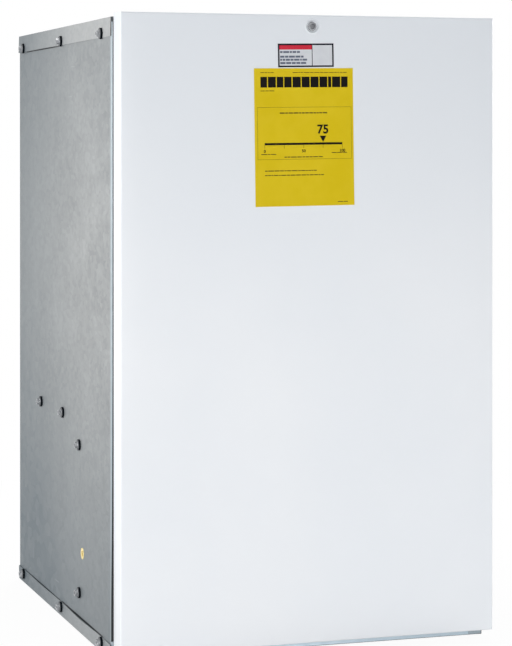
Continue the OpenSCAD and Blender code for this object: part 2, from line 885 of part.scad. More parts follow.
// Ring on the deck round the foot of the scroll
module outlet_flange() {
  color("gainsboro") difference() {
    box([flange_x0 - fit - flange_rim, axis_y - scroll_out - fit - flange_rim, deck_z],
      [flange_x1 + fit + flange_rim, axis_y + scroll_out + fit + flange_rim, deck_z + weld_t]);
    box([flange_x0 - fit, axis_y - scroll_out - fit, deck_z - 1],
      [flange_x1 + fit, axis_y + scroll_out + fit, deck_z + 5]);
    for (point = flange_bolts) translate([point[0], point[1], deck_z - 1])
      cylinder(r = screw_r + hole_clear, h = 5);
  }
}

// Two angle legs that carry the far side of the scroll on the deck
module blower_legs() {
  x0 = axis_x + leg_x - leg_w / 2;
  x1 = axis_x + leg_x + leg_w / 2;
  top = axis_z - leg_bolt_z + leg_head;
  color("gainsboro") for (k = [0, 1]) translate([0, axis_y, 0]) mirror([0, k, 0]) difference() {
    union() {
      box([x0, -scroll_out - leg_t, deck_z], [x1, -scroll_out, top]);
      box([x0, -scroll_out - leg_t - leg_foot, deck_z], [x1, -scroll_out, deck_z + leg_t]);
    }
    translate([axis_x + leg_x, -scroll_out - leg_t - leg_foot / 2, deck_z - 1])
      cylinder(r = screw_r + hole_clear, h = 5);
    translate([axis_x + leg_x, -scroll_out - 5, axis_z - leg_bolt_z]) rotate([-90, 0, 0])
      cylinder(r = screw_r + hole_clear, h = 10);
  }
}

module short_bolt() {
  hex_screw(bolt_len, bolt_washer_r);
}

module blower_bolts() {
  color("silver") {
    for (point = flange_bolts) translate([point[0], point[1], deck_z + weld_t]) short_bolt();
    for (y = leg_bolt_y) translate([axis_x + leg_x, y, deck_z + leg_t]) short_bolt();
    on_front(axis_x + leg_x, axis_y - scroll_out - leg_t, axis_z - leg_bolt_z) short_bolt();
    on_rear(axis_x + leg_x, axis_y + scroll_out + leg_t, axis_z - leg_bolt_z) short_bolt();
    at_blower() for (a = arm_angles)
      rotate([0, 0, a]) translate([arm_bolt_r, 0, scroll_out + arm_t]) short_bolt();
  }
}

module motor_shell() {
  color("#3c4046") at_blower() difference() {
    translate([0, 0, -motor_rear + bell_t]) cylinder(r = motor_r, h = motor_len - 2 * bell_t);
    translate([0, 0, -motor_rear]) cylinder(r = motor_r - shell_wall, h = motor_len);
  }
}

// End bell with vent slots and a bearing boss, its outer face on z = bell_t
module end_bell() {
  difference() {
    union() {
      cylinder(r = motor_r, h = bell_t * 0.6);
      translate([0, 0, bell_t * 0.6]) cylinder(r1 = motor_r, r2 = motor_r - 8, h = bell_t * 0.4);
      cylinder(r = shaft_r + boss_wall, h = bell_t + boss_h);
    }
    translate([0, 0, -1]) cylinder(r = shaft_r + shaft_clear, h = bell_t + 6);
    for (a = [0 : 30 : 330]) rotate([0, 0, a])
      translate([vent_in, -vent_w / 2, -1]) cube([vent_len, vent_w, bell_t + 2]);
  }
}

module motor_end_bells() {
  color("#555a60") at_blower() {
    translate([0, 0, -motor_front - bell_t]) end_bell();
    translate([0, 0, -motor_rear + bell_t]) mirror([0, 0, 1]) end_bell();
  }
}

module motor_stator() {
  color("#8a5a34") at_blower() translate([0, 0, core_mid - core_len / 2]) difference() {
    cylinder(r = motor_r - shell_wall, h = core_len);
    translate([0, 0, -1]) cylinder(r = stator_r, h = core_len + 2);
  }
}

module motor_rotor_core() {
  color("#7b7f86") at_blower() translate([0, 0, core_mid - core_len / 2]) difference() {
    cylinder(r = stator_r - air_gap, h = core_len);
    translate([0, 0, -1]) cylinder(r = shaft_r, h = core_len + 2);
  }
}

module motor_band() {
  color("silver") at_blower() translate([0, 0, -band_y - band_w / 2]) difference() {
    cylinder(r = motor_r + band_t, h = band_w);
    translate([0, 0, -1]) cylinder(r = motor_r, h = band_w + 2);
  }
}

// Three flat bars from the belly band to the scroll, each bent back to a bolted foot
module motor_arms() {
  color("silver") at_blower() for (a = arm_angles) rotate([0, 0, a]) difference() {
    union() {
      box([motor_r + band_t, -arm_w / 2, -band_y], [arm_foot_r, arm_w / 2, -band_y + arm_t]);
      box([arm_foot_r - arm_t, -arm_w / 2, scroll_out], [arm_foot_r, arm_w / 2, -band_y + arm_t]);
      box([arm_foot_r - arm_foot_len, -arm_w / 2, scroll_out], [arm_foot_r, arm_w / 2, scroll_out + arm_t]);
    }
    translate([arm_bolt_r, 0, scroll_out - 1]) cylinder(r = screw_r + hole_clear, h = 5);
  }
}

module motor_shaft() {
  color("silver") at_blower() translate([0, 0, -hub_front - hub_len - 2])
    cylinder(r = shaft_r, h = -motor_front + bell_t + hub_len + hub_front + 2);
}

// Forward-curved blade as a thin arc in plan, from the inner to the outer radius
function blade_arc(grow) = [for (i = [0 : blade_steps])
  let (u = i / blade_steps, r = wheel_r - blade_depth + u * blade_depth, a = blade_sweep * u * u)
  [r * cos(a) - grow * sin(a), r * sin(a) + grow * cos(a)]];

// Outline of one blade, grown on both faces
module blade_outline(grow) {
  polygon(concat(blade_arc(-grow), reversed(blade_arc(blade_t + grow))));
}

module blade_ring() {
  for (i = [0 : blade_count - 1]) rotate([0, 0, i * 360 / blade_count]) children();
}

// Middle disc and hub of the wheel, with a slot for each blade
module wheel_disc() {
  color("slategray") at_blower() difference() {
    union() {
      translate([0, 0, -disc_t / 2]) cylinder(r = disc_r, h = disc_t);
      translate([0, 0, -hub_front - hub_len]) cylinder(r = hub_r, h = hub_len);
    }
    translate([0, 0, -hub_front - hub_len - 1]) cylinder(r = shaft_r, h = hub_len + 2);
    blade_ring() translate([0, 0, -disc_t]) linear_extrude(height = 2 * disc_t) union() {
      blade_outline(slot_clear);
      translate([wheel_r - blade_depth - slot_clear, -slot_clear])
        square([2 * slot_clear, blade_t + 2 * slot_clear]);
    }
  }
}

module wheel_blades() {
  color("slategray") at_blower() blade_ring() translate([0, 0, ring_h - wheel_len / 2])
    linear_extrude(height = wheel_len - 2 * ring_h) blade_outline(0);
}

// End rings that hold the blades at both ends of the wheel
module wheel_rings() {
  color("slategray") at_blower() for (z = [-wheel_len / 2, wheel_len / 2 - ring_h])
    translate([0, 0, z]) difference() {
      cylinder(r = wheel_r + 1, h = ring_h, $fn = 96);
      translate([0, 0, -1]) cylinder(r = wheel_r - blade_depth / 2, h = ring_h + 2, $fn = 96);
    }
}

// Flat spade terminals, standing on z = 0
module spade(length = tab_len) {
  translate([-tab_w / 2, -tab_t / 2, -overlap]) cube([tab_w, tab_t, length + overlap]);
}

module run_capacitor() {
  color("#b9bcc0") translate([capacitor_x, capacitor_y, capacitor_z]) {
    cylinder(r = capacitor_r, h = capacitor_h);
    for (x = [-capacitor_tab_x, capacitor_tab_x]) translate([x, 0, capacitor_h]) spade();
  }
}

// Band round the capacitor with a foot on the scroll
module capacitor_strap() {
  reach = capacitor_r + strap_ear;
  color("silver") translate([capacitor_x, capacitor_y, capacitor_z + (capacitor_h - strap_h) / 2])
    difference() {
      union() {
        cylinder(r = capacitor_r + strap_t, h = strap_h);
        box([-reach, capacitor_r - strap_t, 0], [reach, capacitor_r + strap_t + strap_pad, strap_h]);
      }
      translate([0, 0, -1]) cylinder(r = capacitor_r, h = strap_h + 2);
    }
}

module at_element(x) {
  translate([x, heater_front, element_z]) children();
}

module coil_places() {
  for (x = [-coil_x, coil_x]) for (z = [-coil_z, coil_z]) translate([x, 0, z]) rotate([-90, 0, 0])
    children();
}

// Mounting plate, two rods and the cross plates that hold the ceramic rings
module element_frames() {
  bore_r = coil_r + coil_clear + ring_wall;
  color("silver") for (x = element_x) at_element(x) difference() {
    union() {
      box([-mount_w / 2, -mount_t, -mount_h / 2], [mount_w / 2, 0, mount_h / 2]);
      for (z = [-rod_z, rod_z]) translate([0, -mount_t, z]) rotate([-90, 0, 0])
        cylinder(r = rod_r, h = element_len + mount_t);
      for (i = [0 : support_count - 1])
        box([-mount_w / 2 + 12, support_first + i * support_step, -mount_h / 2 + 10 - 5],
          [mount_w / 2 - 12, support_first + i * support_step + support_t, mount_h / 2 - 5]);
    }
    coil_places() translate([0, 0, 2]) cylinder(r = bore_r, h = element_len + 10);
    for (s = [-coil_x, coil_x]) front_hole(s, 0, 0, stud_r + 3, 10);
  }
}

module element_insulators() {
  color("#efe9dc") for (x = element_x) at_element(x) {
    for (i = [0 : support_count - 1]) coil_places()
      translate([0, 0, support_first + i * support_step + support_t / 2 - ring_len / 2]) difference() {
        cylinder(r = coil_r + coil_clear + ring_wall, h = ring_len);
        translate([0, 0, -1]) cylinder(r = coil_r + coil_clear, h = ring_len + 2);
      }
    for (s = [-coil_x, coil_x]) translate([s, -mount_t - 4, 0]) rotate([-90, 0, 0]) difference() {
      cylinder(r = stud_r + 3, h = 10);
      translate([0, 0, -1]) cylinder(r = stud_r, h = 12);
    }
  }
}

module element_coils() {
  color("#8b8378") for (x = element_x) at_element(x) coil_places()
    translate([0, 0, 6]) cylinder(r = coil_r, h = element_len - 8, $fn = 24);
}

module element_studs() {
  color("#b8963c") for (x = element_x) at_element(x) for (s = [-coil_x, coil_x])
    translate([s, -mount_t - stud_len, 0]) rotate([-90, 0, 0]) {
      cylinder(r = stud_r, h = stud_len + 14);
      translate([0, 0, 6]) cylinder(r = stud_r + 2.2, h = 3, $fn = 6);
    }
}

module limit_switches() {
  color("#26282b") for (x = element_x) on_front(x, heater_front, limit_z) {
    cylinder(r = limit_flange_r, h = foot_t);
    cylinder(r = limit_r, h = limit_h);
    for (k = [-1, 1]) translate([k * limit_tab_x, 0, limit_h]) spade();
  }
}

// Case on a foot against the heater plate, with spade terminals in columns and two rows
module relay_case(size, foot_w, columns, row) {
  depth = foot_t + size[1];
  box([-size[0] / 2, -depth, -size[2] / 2], [size[0] / 2, -foot_t, size[2] / 2]);
  box([-foot_w / 2, -foot_t, -foot_h / 2], [foot_w / 2, 0, foot_h / 2]);
  for (x = columns) for (z = [-row, row]) translate([x, -depth, z]) rotate([90, 0, 0]) spade();
}

module sequencers() {
  columns = [-sequencer_tab, sequencer_tab];
  color("#2d3038") for (x = sequencer_x) translate([x, heater_front, controls_z])
    relay_case(sequencer_size, sequencer_foot_w, columns, sequencer_tab);
}

module fan_relay() {
  columns = [-relay_tab, 0, relay_tab];
  color("#1f2123") translate([relay_x, heater_front, controls_z])
    relay_case(relay_size, relay_foot_w, columns, relay_tab);
}

module at_transformer() {
  translate([transformer_x, heater_front - transformer_stand, controls_z]) children();
}

module transformer_core() {
  window_x = (leg_core + window_w) / 2;
  back = transformer_stand;
  color("#5f646b") at_transformer() {
    difference() {
      box([-core_w / 2, -core_d / 2, -core_h / 2], [core_w / 2, core_d / 2, core_h / 2]);
      for (x = [-window_x, window_x])
        box([x - window_w / 2, -core_d, -window_h / 2], [x + window_w / 2, core_d, window_h / 2]);
    }
    both_sides() box([core_w / 2 - ear_w, core_d / 2 - overlap, -ear_h / 2],
      [core_w / 2, back - ear_t, ear_h / 2]);
    both_sides() box([core_w / 2 - ear_w, back - ear_t, -ear_h / 2],
      [core_w / 2 + ear_reach, back, ear_h / 2]);
  }
}

module transformer_coil() {
  reach = leg_core / 2 + window_w;
  color("#c9a24b") at_transformer() difference() {
    box([-reach, -coil_d / 2, -window_h / 2], [reach, coil_d / 2, window_h / 2]);
    box([-leg_core / 2, -core_d / 2, -window_h], [leg_core / 2, core_d / 2, window_h]);
  }
}

// Screw terminal strip for the thermostat wires
module terminal_strip() {
  reach = (terminal_count - 1) / 2;
  color("#1d1e20") translate([strip_x, heater_front, strip_z]) difference() {
    box([-strip_w / 2, -strip_d, -strip_h / 2], [strip_w / 2, 0, strip_h / 2]);
    for (i = [-reach : reach]) translate([i * terminal_pitch, 0, 0])
      box([-terminal_w / 2, -strip_d - 1, -terminal_h / 2],
        [terminal_w / 2, -strip_d + terminal_d, terminal_h / 2]);
  }
}

module ground_lug() {
  color("#b87333") translate([lug_x, heater_front, lug_z]) difference() {
    union() {
      box([-lug_w / 2, -lug_t, -lug_h / 2], [lug_w / 2, 0, lug_h / 2]);
      box([-lug_w / 2, -lug_block, -lug_h / 2], [lug_w / 2, 0, lug_block - lug_h / 2]);
    }
    translate([0, -lug_block / 2 - 1, -lug_h]) cylinder(r = lug_bore_r, h = lug_h + lug_block);
    front_hole(0, 0, (lug_h - lug_block) / 2 + 1, lug_screw_r, 10);
  }
}

// Channel that holds the breakers forward of the heater plate
module breaker_bracket() {
  x0 = breaker_x[0] - breaker_w / 2 - bracket_margin;
  x1 = breaker_x[1] + breaker_w / 2 + bracket_margin;
  z0 = breaker_z - breaker_h / 2;
  z1 = breaker_z + breaker_h / 2;
  color("silver") {
    box([x0, breaker_back, z0], [x1, breaker_back + weld_t, z1]);
    for (x = [x0, x1 - weld_t]) box([x, breaker_back, z0], [x + weld_t, heater_front, z1]);
  }
}

module breaker_bodies() {
  color("#17181a") for (x = breaker_x) translate([x, 0, breaker_z]) difference() {
    box([-breaker_w / 2, breaker_front, -breaker_h / 2], [breaker_w / 2, breaker_back, breaker_h / 2]);
    box([-handle_well_w / 2, breaker_front - 1, -handle_well_h / 2],
      [handle_well_w / 2, handle_y + handle_well_d, handle_well_h / 2]);
    translate([-handle_well_w / 2 - 4, handle_y, 0]) rotate([0, 90, 0])
      cylinder(r = handle_pin_r + shaft_clear, h = handle_well_w + 8);
  }
}

// Tied two-pole handle, shown in its upper place, which is on
module breaker_handle(x) {
  color("#e6e6e2") translate([x, handle_y, breaker_z]) {
    translate([-handle_well_w / 2 + 1, 0, 0]) rotate([0, 90, 0])
      cylinder(r = handle_barrel_r, h = handle_well_w - 2);
    translate([-handle_well_w / 2 - 3.5, 0, 0]) rotate([0, 90, 0])
      cylinder(r = handle_pin_r, h = handle_well_w + 7);
    rotate([-handle_swing / 2, 0, 0])
      box([-handle_well_w / 2 + 3, -handle_barrel_r - handle_len, -handle_t / 2],
        [handle_well_w / 2 - 3, -handle_barrel_r / 2, handle_t / 2]);
  }
}

module breaker_handle_left() {
  breaker_handle(breaker_x[0]);
}

module breaker_handle_right() {
  breaker_handle(breaker_x[1]);
}

function unit(v) = v / norm(v);

// Points of a route with each corner rounded by a quadratic curve
function rounded(points, bend) = concat([points[0]],
  [for (i = [1 : len(points) - 2])
    let (corner = points[i],
      start = corner + bend * unit(points[i - 1] - corner),
      end = corner + bend * unit(points[i + 1] - corner))
    for (u = [0 : 0.25 : 1]) (1 - u) * (1 - u) * start + 2 * u * (1 - u) * corner + u * u * end],
  [points[len(points) - 1]]);

// Ring of points round one point of a route, square to the route there
function wire_ring(path, i, radius) =
  let (last = len(path) - 1,
    tangent = unit(path[min(i + 1, last)] - path[max(i - 1, 0)]),
    side = unit(cross(tangent, wire_reference)),
    up = cross(side, tangent))
  [for (k = [0 : wire_sides - 1])
    path[i] + radius * (cos(k * 360 / wire_sides) * side + sin(k * 360 / wire_sides) * up)];

// Round wire along a route with rounded corners
module wire(points, radius, bend) {
  path = rounded(points, bend);
  rings = len(path);
  n = wire_sides;
  vertices = flat([for (i = [0 : rings - 1]) wire_ring(path, i, radius)]);
  walls = flat([for (i = [0 : rings - 2]) flat([for (k = [0 : n - 1])
    let (a = i * n + k, b = i * n + (k + 1) % n) [[a, b, b + n], [a, b + n, a + n]]])]);
  polyhedron(vertices, concat(walls, [[for (k = [n - 1 : -1 : 0]) k]],
    [[for (k = [0 : n - 1]) (rings - 1) * n + k]]));
}

// Leads from the left and middle elements up to the sequencers
module power_wires() {
  y0 = heater_front - mount_t - stud_len - fit;
  y1 = heater_front - foot_t - sequencer_size[1] - tab_len - fit;
  z1 = controls_z - sequencer_tab;
  color("#b3261e") for (i = [0 : min(len(sequencer_x), element_count) - 1]) {
    x0 = element_x[i] - coil_x;
    x1 = sequencer_x[i] + sequencer_tab;
    wire([[x0, y0, element_z], [x0, y1 - wire_rise, element_z], [x1, y1 - wire_rise, z1],
      [x1, y1, z1]], wire_r, wire_bend);
  }
}

// Cable from the motor's front bell down to the fan relay
module motor_cable() {
  y0 = axis_y + motor_front - fit;
  y1 = heater_front - foot_t - relay_size[1] - tab_len - fit;
  y2 = y0 - cable_lead;
  x0 = axis_x + cable_side;
  z0 = axis_z - cable_drop;
  z1 = controls_z + relay_tab;
  color("#2a2a2c") wire([[x0, y0, z0], [x0, y2, z0], [x0, y2, deck_z + cable_turn],
    [relay_x, y1 - cable_end, z1], [relay_x, y1, z1]], cable_r, cable_bend);
}

left_side_panel();
right_side_panel();
back_panel();
top_frame();
bottom_frame();
gasket();
door_bracket();
door_hooks();
strip_screws();
side_screws();
back_screws();
wire_bushing();
power_bushing();
liner_left();
liner_right();
liner_back();
door_panel();
door_insulation();
door_screw();
yellow_sticker();
small_tag();
blower_deck();
heater_plate();
scroll_wrapper();
scroll_front();
scroll_rear();
inlet_ring_front();
inlet_ring_rear();
outlet_flange();
blower_legs();
blower_bolts();
motor_shell();
motor_end_bells();
motor_stator();
motor_band();
motor_arms();
motor_shaft();
motor_rotor_core();
wheel_disc();
wheel_blades();
wheel_rings();
run_capacitor();
capacitor_strap();
element_frames();
element_insulators();
element_coils();
element_studs();
limit_switches();
sequencers();
fan_relay();
transformer_core();
transformer_coil();
terminal_strip();
ground_lug();
breaker_bracket();
breaker_bodies();
breaker_handle_left();
breaker_handle_right();
power_wires();
motor_cable();
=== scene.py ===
"""Downflow electric furnace: the finish of every surface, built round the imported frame.

Every piece lies at the origin of the frame, in metres, with its place in its mesh.
Sizes are written in millimetres and turned into metres by MM.
"""

import logging
import math
from dataclasses import dataclass, replace
from enum import Enum
from functools import lru_cache

import bmesh
import bpy
import numpy as np
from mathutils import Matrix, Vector


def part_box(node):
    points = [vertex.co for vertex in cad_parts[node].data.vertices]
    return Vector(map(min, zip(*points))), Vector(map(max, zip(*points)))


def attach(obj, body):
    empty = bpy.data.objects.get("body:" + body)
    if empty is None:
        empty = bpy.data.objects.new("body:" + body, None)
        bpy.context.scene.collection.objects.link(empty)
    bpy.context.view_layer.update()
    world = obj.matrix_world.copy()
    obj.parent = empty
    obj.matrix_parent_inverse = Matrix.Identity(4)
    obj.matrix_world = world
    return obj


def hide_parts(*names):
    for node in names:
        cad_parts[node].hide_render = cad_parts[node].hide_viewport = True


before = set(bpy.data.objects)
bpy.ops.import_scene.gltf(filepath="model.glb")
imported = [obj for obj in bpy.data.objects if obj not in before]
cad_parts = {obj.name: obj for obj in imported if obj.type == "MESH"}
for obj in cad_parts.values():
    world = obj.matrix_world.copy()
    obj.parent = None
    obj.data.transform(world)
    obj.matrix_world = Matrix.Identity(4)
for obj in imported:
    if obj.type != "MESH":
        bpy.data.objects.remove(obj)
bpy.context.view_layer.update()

Array = np.ndarray
Colour = tuple[float, float, float]
Point = tuple[float, float, float]

MM = 0.001
SEED = 26
FULL_TURN = 2 * math.pi
EVEN: Point = (1, 1, 1)
SHADE = "shade"
log = logging.getLogger("furnace")


def paint(red: float, green: float, blue: float) -> Colour:
    """Turns a colour as it shows on a screen into the shader's linear colour.

    Args:
        red: Red from 0 to 255.
        green: Green from 0 to 255.
        blue: Blue from 0 to 255.

    Returns:
        The linear colour, each channel raised by the screen's own curve.
    """
    shown = np.array([red, green, blue]) / 255
    curve = np.where(shown <= 0.04045, shown / 12.92, ((shown + 0.055) / 1.055) ** 2.4)
    return tuple(float(channel) for channel in curve)


# Near-black of painted shade in gaps, recesses and seams; on screw seals also their own black
# rubber.
SHADE_BLACK = paint(8, 16, 22)


class Value:
    """A shader socket whose Python operators add Math nodes."""

    def __init__(self, graph: "Graph", socket: bpy.types.NodeSocket) -> None:
        """Keeps the socket and the graph that new nodes go into."""
        self.graph = graph
        self.socket = socket

    def __add__(self, other: "Value | float") -> "Value":
        """Sum of both values."""
        return self.graph.math("ADD", self, other)

    def __sub__(self, other: "Value | float") -> "Value":
        """This value less the other."""
        return self.graph.math("SUBTRACT", self, other)

    def __rsub__(self, other: float) -> "Value":
        """The other value less this one."""
        return self.graph.math("SUBTRACT", other, self)

    def __mul__(self, other: "Value | float") -> "Value":
        """Product of both values."""
        return self.graph.math("MULTIPLY", self, other)

    __radd__ = __add__
    __rmul__ = __mul__

    def rise(self, low: float, high: float) -> "Value":
        """Smooth step of this value.

        Args:
            low: Where the step begins.
            high: Where it ends; below low, the step falls instead.

        Returns:
            0 before low and 1 after high, with a smooth rise between.
        """
        return self.graph.node(
            "ShaderNodeMapRange",
            {"interpolation_type": "SMOOTHSTEP"},
            {"Value": self, "From Min": low, "From Max": high},
        )


class Graph:
    """The node tree of one procedural material, or of the world."""

    def __init__(self, owner: "str | bpy.types.World") -> None:
        """Starts an empty tree.

        Args:
            owner: Name of a new material, or the world.
        """
        self.owner = bpy.data.materials.new(owner) if isinstance(owner, str) else owner
        self.owner.use_nodes = True
        self.tree = self.owner.node_tree
        self.tree.nodes.clear()

    def feed(self, socket: bpy.types.NodeSocket, value: object) -> None:
        """Links a Value to a socket, or sets the socket's own number or colour.

        Args:
            socket: The socket to feed.
            value: A Value, a number, or a tuple of three or four numbers.
        """
        if isinstance(value, Value):
            self.tree.links.new(value.socket, socket)
        elif isinstance(value, tuple) and len(value) == 3 and socket.type == "RGBA":
            socket.default_value = (*value, 1.0)
        else:
            socket.default_value = value

    def node(
        self,
        kind: str,
        settings: dict[str, object] | None = None,
        sockets: dict[str | int, object] | None = None,
        output: int = 0,
    ) -> Value:
        """Adds any node, with its settings first and its sockets after them.

        Args:
            kind: The node's type name.
            settings: Its own settings, such as a Math node's operation.
            sockets: Values or links of its inputs, by name or number.
            output: Number of the output that is wanted.

        Returns:
            The wanted output.
        """
        made = self.tree.nodes.new(kind)
        for name, setting in (settings or {}).items():
            setattr(made, name, setting)
        for name, value in (sockets or {}).items():
            self.feed(made.inputs[name], value)
        return Value(self, made.outputs[output] if made.outputs else None)

    def math(self, operation: str, *values: "Value | float") -> Value:
        """Adds a Math node."""
        return self.node("ShaderNodeMath", {"operation": operation}, dict(enumerate(values)))

    def place(self, stretch: Point = EVEN) -> Value:
        """Object coordinates as a vector, drawn out along the axes whose factor is small.

        Args:
            stretch: Factor along each axis.

        Returns:
            The coordinates.
        """
        raw = self.node("ShaderNodeTexCoord", output=3)
        if stretch == EVEN:
            return raw
        return self.node("ShaderNodeMapping", None, {"Vector": raw, "Scale": stretch})

    def noise(
        self,
        grain: float,
        detail: float = 2.0,
        stretch: Point = EVEN,
        rough: float = 0.5,
        warp: float = 0.0,
    ) -> Value:
        """Fractal noise from 0 to 1.

        Args:
            grain: Size of its largest lumps in millimetres.
            detail: Number of finer layers.
            stretch: Factor along each axis; a small one draws the lumps out.
            rough: Strength of the finer layers.
            warp: How far the noise bends itself.

        Returns:
            The noise.
        """
        return self.node(
            "ShaderNodeTexNoise",
            None,
            {
                "Vector": self.place(stretch),
                "Scale": 1 / (grain * MM),
                "Detail": detail,
                "Roughness": rough,
                "Distortion": warp,
            },
        )

    def cells(self, size: float, stretch: Point = EVEN, edges: bool = False) -> Value:
        """Crystal cells: a random grey for each, or the distance to a cell's edge.

        Args:
            size: Width of a cell in millimetres.
            stretch: Factor along each axis.
            edges: Whether the distance to the edge is wanted.

        Returns:
            The grey or the distance.
        """
        feature = "DISTANCE_TO_EDGE" if edges else "F1"
        sockets = {"Vector": self.place(stretch), "Scale": 1 / (size * MM)}
        cell = self.node("ShaderNodeTexVoronoi", {"feature": feature}, sockets, 0 if edges else 1)
        if edges:
            return cell
        return self.node("ShaderNodeSeparateColor", None, {"Color": cell})

    def axis(self, which: int) -> Value:
        """Object coordinate along one axis, in metres."""
        return self.node("ShaderNodeSeparateXYZ", None, {"Vector": self.place()}, which)

    def shade(self) -> Value:
        """Painted shade that the mesh's own attribute gives each point, 0 where it has none."""
        return self.node("ShaderNodeAttribute", {"attribute_name": SHADE}, output=2)

    def blend(self, share: "Value | float", low: object, high: object) -> Value:
        """Mixes two colours.

        Args:
            share: Share of the second colour.
            low: First colour.
            high: Second colour.

        Returns:
            The mixed colour.
        """
        settings = {"data_type": "RGBA", "clamp_factor": True}
        return self.node("ShaderNodeMix", settings, {0: share, 6: low, 7: high}, 2)

    def bump(self, height: Value, depth: float, strength: float = 1.0) -> Value:
        """Normal that follows a height map.

        Args:
            height: Height from 0 to 1.
            depth: What a height of 1 stands for, in millimetres.
            strength: Share of the effect.

        Returns:
            The bumped normal.
        """
        sockets = {"Height": height, "Distance": depth * MM, "Strength": strength}
        return self.node("ShaderNodeBump", None, sockets)

    def principled(
        self,
        colour: Value,
        rough: "Value | float",
        normal: Value,
        others: dict[str, object] | None = None,
    ) -> bpy.types.Material:
        """Ends the graph in a Principled shader.

        Args:
            colour: Base colour.
            rough: Roughness.
            normal: Bumped normal.
            others: Values or links of further inputs.

        Returns:
            The finished material.
        """
        sockets = {"Base Color": colour, "Roughness": rough, "Normal": normal, **(others or {})}
        shader = self.node("ShaderNodeBsdfPrincipled", None, sockets)
        self.node("ShaderNodeOutputMaterial", None, {"Surface": shader})
        return self.owner


@dataclass(frozen=True)
class GalvanisedSheet:
    """Zinc-coated sheet: clouds, spangle, roll marks, painted shade at its borders, painted seams.

    A seam is the lowest and highest y and the lowest and highest z of a place painted
    near-black. The painted sheen runs from one y to another with a share.
    """

    name: str
    dark: Colour = paint(128, 131, 132)
    light: Colour = paint(174, 176, 176)
    spangle: float = 13.0
    roughness: float = 0.42
    metal: float = 0.30
    # Colour of stains and of the painted shade at the foot, the rear and the crown.
    stain_and_shade: Colour = paint(98, 108, 114)
    painted_sheen: Colour = paint(196, 212, 222)
    seams: tuple[tuple[float, float, float, float], ...] = ()
    # Shares of painted shade towards the foot, the rear and the crown.
    foot: float = 0.92
    rear: float = 0.72
    crown: float = 0.26
    # Painted highlight: a lighter band from one y to another, with its share.
    painted_sheen_band: Point = (-0.268, -0.279, 0.45)
    seam_soft: float = 12.0
    seam_thin: float = 0.5

    def make(self) -> bpy.types.Material:
        """Builds the material: clouds and crystal cells pick the grey, stains shift it.

        The foot, the rear and the crown of the cabinet are darkened by painted shade, and its
        front edge is lightened by a painted sheen. The mesh's own shade attribute and the seams
        paint it near-black.

        Returns:
            The material.
        """
        g = Graph(self.name)
        flat = (1, 0.6, 1)
        clouds = g.noise(110, 3, flat, 0.5, 0.4)
        patches = g.noise(24, 3, (1, 0.7, 1), 0.6)
        rolled = g.noise(40, 2, (1, 1, 0.04), 0.5)
        fine = g.noise(5.0, 3, flat, 0.65)
        spangle = g.cells(self.spangle, flat)
        small = g.cells(self.spangle * 0.5, flat)
        grey = clouds.rise(0.30, 0.70) * 0.22 + patches.rise(0.3, 0.7) * 0.16
        grey = grey + spangle * 0.16 + small * 0.24 + rolled.rise(0.42, 0.64) * 0.05 + fine * 0.22
        colour = g.blend(grey, self.dark, self.light)
        # Painted shade: darker towards the foot, the rear and the crown.
        foot = g.axis(2).rise(0.50, -0.10) * (0.55 + clouds * 0.5)
        rear = g.axis(1).rise(-0.17, 0.36) * (0.6 + clouds * 0.4)
        crown = g.axis(2).rise(0.55, 0.90)
        colour = g.blend(
            foot * self.foot + rear * self.rear + crown * self.crown, colour, self.stain_and_shade
        )
        # Painted highlight: a lighter band along the front edge.
        start, end, share = self.painted_sheen_band
        colour = g.blend(g.axis(1).rise(start, end) * share, colour, self.painted_sheen)
        stain = g.noise(30, 4, (1, 0.7, 0.6), 0.62, 0.8).rise(0.66, 0.82)
        colour = g.blend(stain * 0.16, colour, self.stain_and_shade)
        scratch = g.noise(5, 2, (0.05, 0.05, 1.0), 0.5).rise(0.76, 0.80)
        colour = g.blend(scratch * 0.14, colour, paint(208, 211, 213))
        # Painted shade: near-black from the shade attribute and the seams.
        colour = g.blend(self.painted_shade(g), colour, SHADE_BLACK)
        rough = self.roughness + patches * 0.10 + spangle * 0.10 - scratch * 0.06
        relief = g.bump(spangle * 0.4 + small * 0.2 + fine * 0.4, 0.02, 0.6)
        return g.principled(
            colour, rough, relief, {"Metallic": self.metal, "Specular IOR Level": 0.35}
        )

    def painted_shade(self, g: Graph) -> Value:
        """Share of painted near-black: the mesh's shade attribute, or a step at a seam's four
        borders.

        Args:
            g: The material's graph.

        Returns:
            The share, from 0 to 1.
        """
        # The share of painted near-black, from the shade attribute and the seams.
        dirt = g.shade()
        y, z = g.axis(1), g.axis(2)
        soft, thin = self.seam_soft * MM, self.seam_thin * MM
        for y0, y1, z0, z1 in self.seams:
            inside = y.rise(y0 - soft, y0) * y.rise(y1 + soft, y1)
            inside = inside * z.rise(z0 - thin, z0) * z.rise(z1 + thin, z1)
            dirt = g.math("MAXIMUM", dirt, inside)
        return dirt


@dataclass(frozen=True)
class WhiteEnamel:
    """Baked white enamel with a fine orange peel and a little rubbed dirt."""

    name: str
    tone: Colour = paint(242, 244, 247)
    cloud: Colour = paint(238, 241, 245)
    painted_top_shade: Colour = paint(227, 231, 236)
    roughness: float = 0.40

    def make(self) -> bpy.types.Material:
        """Builds the material: broad clouds tint it, painted shade darkens the top, noise ripples
        it.

        Returns:
            The material.
        """
        g = Graph(self.name)
        clouds = g.noise(260, 3, (1, 1, 0.8), 0.5)
        peel = g.noise(2.4, 2, rough=0.45)
        specks = g.noise(7, 3, rough=0.6).rise(0.76, 0.82)
        colour = g.blend(clouds.rise(0.3, 0.7), self.tone, self.cloud)
        # Painted shade: the door darker and cooler towards its top.
        colour = g.blend(g.axis(2).rise(0.35, 0.90), colour, self.painted_top_shade)
        colour = g.blend(specks * 0.05, colour, paint(196, 198, 200))
        rough = self.roughness + clouds * 0.06 + peel * 0.04
        gloss = {"Specular IOR Level": 0.35, "Coat Weight": 0.12, "Coat Roughness": 0.2}
        return g.principled(colour, rough, g.bump(peel, 0.014, 0.5), gloss)


